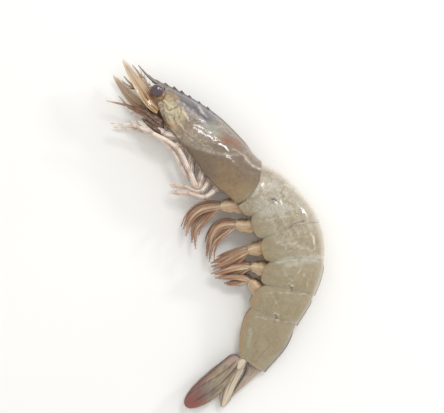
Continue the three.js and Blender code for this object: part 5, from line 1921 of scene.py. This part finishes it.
class ShrimpTail(bpy.types.Operator):
    """Builds the tail fan: the spike, the two bases and the four blades"""

    bl_idname = "shrimp.tail"
    bl_label = "Tail Fan"

    def execute(self, context):
        sizes, colours = context.scene.shrimp_sizes, context.scene.shrimp_colours
        rng = random.Random(53)
        hairs = hair_material(colours)
        # Thick shell of the spike: grey-tan, darker at its point and edges.
        spike = wet_material(
            "wet_telson_shell", colours.spike, colours.spike_shade,
            layers=(
                ("rib", colours.pink, 0.5, 0.5), ("line", colours.dark, 0.6, 0.6),
                ("edge", colours.dark, 0.85, 0.4), ("tip", colours.dark, 0.85, 0.4),
            ),
            clouds_mm=1.8, specks_mm=0.8, specks=0.25, speck_colour=colours.dark,
            ripple_mm=1.8, stretch=(0.3, 1, 1),
        )
        # Thin wet fan blades: tan along the ribs, dusky in the middle, with dark edges and
        # maroon tips, and cream skin over their roots.
        blade = wet_material(
            "wet_fan_shell", colours.fan, colours.fan_pale,
            layers=(
                ("rib", colours.fan_pale, 0.6, 0.5), ("dusk", colours.fan_dusk, 0.65, 0.8),
                ("skin", colours.fan_skin, 0.75, 0.7), ("tip", colours.fan_tip, 0.9, 0.8),
                ("base", colours.cream, 0.9, 0.6), ("line", colours.fan_line, 0.75, 0.8),
                ("edge", colours.dark, 0.85, 0.4),
            ),
            clouds_mm=1.8, specks_mm=0.7, specks=0.3, speck_colour=colours.dark, ripple_mm=1.6,
            flesh=0.25, stretch=(0.3, 1, 1),
        )
        bm = new_mesh(("tip", "edge", "rib", "line"))
        add_telson(bm)
        finish_piece(bm, "grooved_telson", ["telson"], [spike])
        for name, side in SIDES.items():
            bm = new_mesh(FAN_MARKS)
            add_limb(
                bm, body_route(FAN_BASE["points"], side),
                lambda share: listed(FAN_BASE["half_widths"], share), columns=20, step=0.3,
                lumps=0.25,
                marks=lambda share, level: {"base": 1.0, "edge": 0.7 * bell(level - 0.55, 0.1)},
            )
            finish_piece(bm, f"fan_knuckle_{name}", [f"fan_base_{name}"], [blade])
            for part, leaf in (("outer", FAN_OUTER), ("inner", FAN_INNER)):
                turn = 0 if side > 0 else leaf["right_turn"]
                route = Route([
                    place(along, back + turn * i, across * side)
                    for i, (along, back, across) in enumerate(leaf["points"])
                ])
                form = {**leaf, "cup": FAN_CUP * side}
                bm = new_mesh(FAN_MARKS)
                add_blade(bm, route, form, columns=48, step=0.4)
                add_fringe(bm, route, form, sizes, rng, reach=(0.3, 1.0), spacing=0.4)
                finish_piece(
                    bm, f"ribbed_fan_{part}_{name}", [f"fan_{part}_{name}"],
                    [blade, hairs],
                )
        return {"FINISHED"}


# The camera looks straight down, from where the picture's middle is at the body's height.
VIEW_CENTRE = Vector((2.87, 12.72, 10.0)) * MM
VIEW_WIDTH = 190.9 * MM
LENS, SENSOR = 85.0, 36.0
# The studio, in metres: half the floor's width and how far below the shrimp it lies, the
# air's colour and brightness, and for each soft light its azimuth, elevation, distance,
# size and power.
FLOOR_HALF_WIDTH = 1.5
FLOOR_DROP = 0.02 * MM
FLOOR_CLOUDS = 6.0
AIR_COLOUR = (1, 0.985, 0.96, 1)
AIR_STRENGTH = 0.84
SOFT_LIGHTS = {
    "key_softbox": (60, 60, 0.8, 0.16, 1.5),
    "glint_softbox": (26, 24, 0.7, 0.08, 1.1),
}


def add_light(name, azimuth, elevation, distance, size, power):
    """A square soft light that faces the shrimp."""
    data = bpy.data.lights.new(name, "AREA")
    data.shape = "SQUARE"
    data.size = size
    data.energy = power
    light = bpy.data.objects.new(name, data)
    flat = math.cos(math.radians(elevation))
    outward = Vector((
        flat * math.cos(math.radians(azimuth)), flat * math.sin(math.radians(azimuth)),
        math.sin(math.radians(elevation)),
    ))
    light.location = VIEW_CENTRE + outward * distance
    light.rotation_euler = outward.to_track_quat("Z", "Y").to_euler()
    bpy.context.scene.collection.objects.link(light)


class ShrimpStage(bpy.types.Operator):
    """Builds the studio: a plain pale floor, soft lights and the camera"""

    bl_idname = "shrimp.stage"
    bl_label = "Studio"

    def execute(self, context):
        scene, colours = context.scene, context.scene.shrimp_colours
        bm = bmesh.new()
        bmesh.ops.create_grid(bm, x_segments=8, y_segments=8, size=FLOOR_HALF_WIDTH)
        mesh = bpy.data.meshes.new("studio_floor")
        bm.to_mesh(mesh)
        bm.free()
        floor = bpy.data.objects.new("studio_floor", mesh)
        scene.collection.objects.link(floor)
        floor.location.z = -FLOOR_DROP
        # Matt white laminate: even, with only a trace of unevenness.
        material = bpy.data.materials.new("matt_white_laminate")
        material.use_nodes = True
        tree = material.node_tree
        shader = tree.nodes["Principled BSDF"]
        spot = add_node(tree, "ShaderNodeTexCoord").outputs["Object"]
        haze = add_node(tree, "ShaderNodeTexNoise", {}, {"Vector": spot, "Scale": FLOOR_CLOUDS})
        tint = add_node(tree, "ShaderNodeMix", MIX_COLOURS, {
            MIX_SHARE: haze, MIX_UNDER: colours.floor, MIX_OVER: colours.floor_shade,
        })
        tree.links.new(tint.outputs[MIX_RESULT], shader.inputs["Base Color"])
        shader.inputs["Roughness"].default_value = 0.9
        shader.inputs["Specular IOR Level"].default_value = 0.2
        mesh.materials.append(material)

        world = bpy.data.worlds.new("studio_air")
        world.use_nodes = True
        air = world.node_tree.nodes["Background"].inputs
        air["Color"].default_value = AIR_COLOUR
        air["Strength"].default_value = AIR_STRENGTH
        scene.world = world
        for name, light in SOFT_LIGHTS.items():
            add_light(name, *light)
        scene.view_settings.view_transform = "Standard"

        data = bpy.data.cameras.new("camera")
        data.lens = LENS
        data.sensor_width = SENSOR
        data.sensor_fit = "HORIZONTAL"
        camera = bpy.data.objects.new("camera", data)
        camera.location = VIEW_CENTRE + Vector((0, 0, VIEW_WIDTH * LENS / SENSOR))
        scene.collection.objects.link(camera)
        scene.camera = camera
        return {"FINISHED"}


BUILDERS = (
    ShrimpStage, ShrimpShield, ShrimpRings, ShrimpHead, ShrimpEyes, ShrimpFeelers, ShrimpLegs,
    ShrimpSwimmingLegs, ShrimpTail,
)


class ShrimpPanel(bpy.types.Panel):
    """Lists the builders and what they read"""

    bl_idname = "VIEW3D_PT_shrimp"
    bl_label = "Raw Tiger Shrimp"
    bl_space_type = "VIEW_3D"
    bl_region_type = "UI"
    bl_category = "Shrimp"

    def draw(self, context):
        layout = self.layout
        for builder in BUILDERS:
            layout.operator(builder.bl_idname)
        for group in (context.scene.shrimp_sizes, context.scene.shrimp_colours):
            box = layout.box()
            for name in group.__annotations__:
                box.prop(group, name)


CLASSES = (ShrimpSizes, ShrimpColours, *BUILDERS, ShrimpPanel)


def register():
    for cls in CLASSES:
        bpy.utils.register_class(cls)
    bpy.types.Scene.shrimp_sizes = PointerProperty(type=ShrimpSizes)
    bpy.types.Scene.shrimp_colours = PointerProperty(type=ShrimpColours)


def unregister():
    del bpy.types.Scene.shrimp_colours
    del bpy.types.Scene.shrimp_sizes
    for cls in reversed(CLASSES):
        bpy.utils.unregister_class(cls)


def main():
    register()
    bpy.ops.shrimp.stage()
    bpy.ops.shrimp.shield()
    bpy.ops.shrimp.rings()
    bpy.ops.shrimp.head()
    bpy.ops.shrimp.eyes()
    bpy.ops.shrimp.feelers()
    bpy.ops.shrimp.legs()
    bpy.ops.shrimp.swimming_legs()
    bpy.ops.shrimp.tail()


if __name__ == "__main__":
    main()
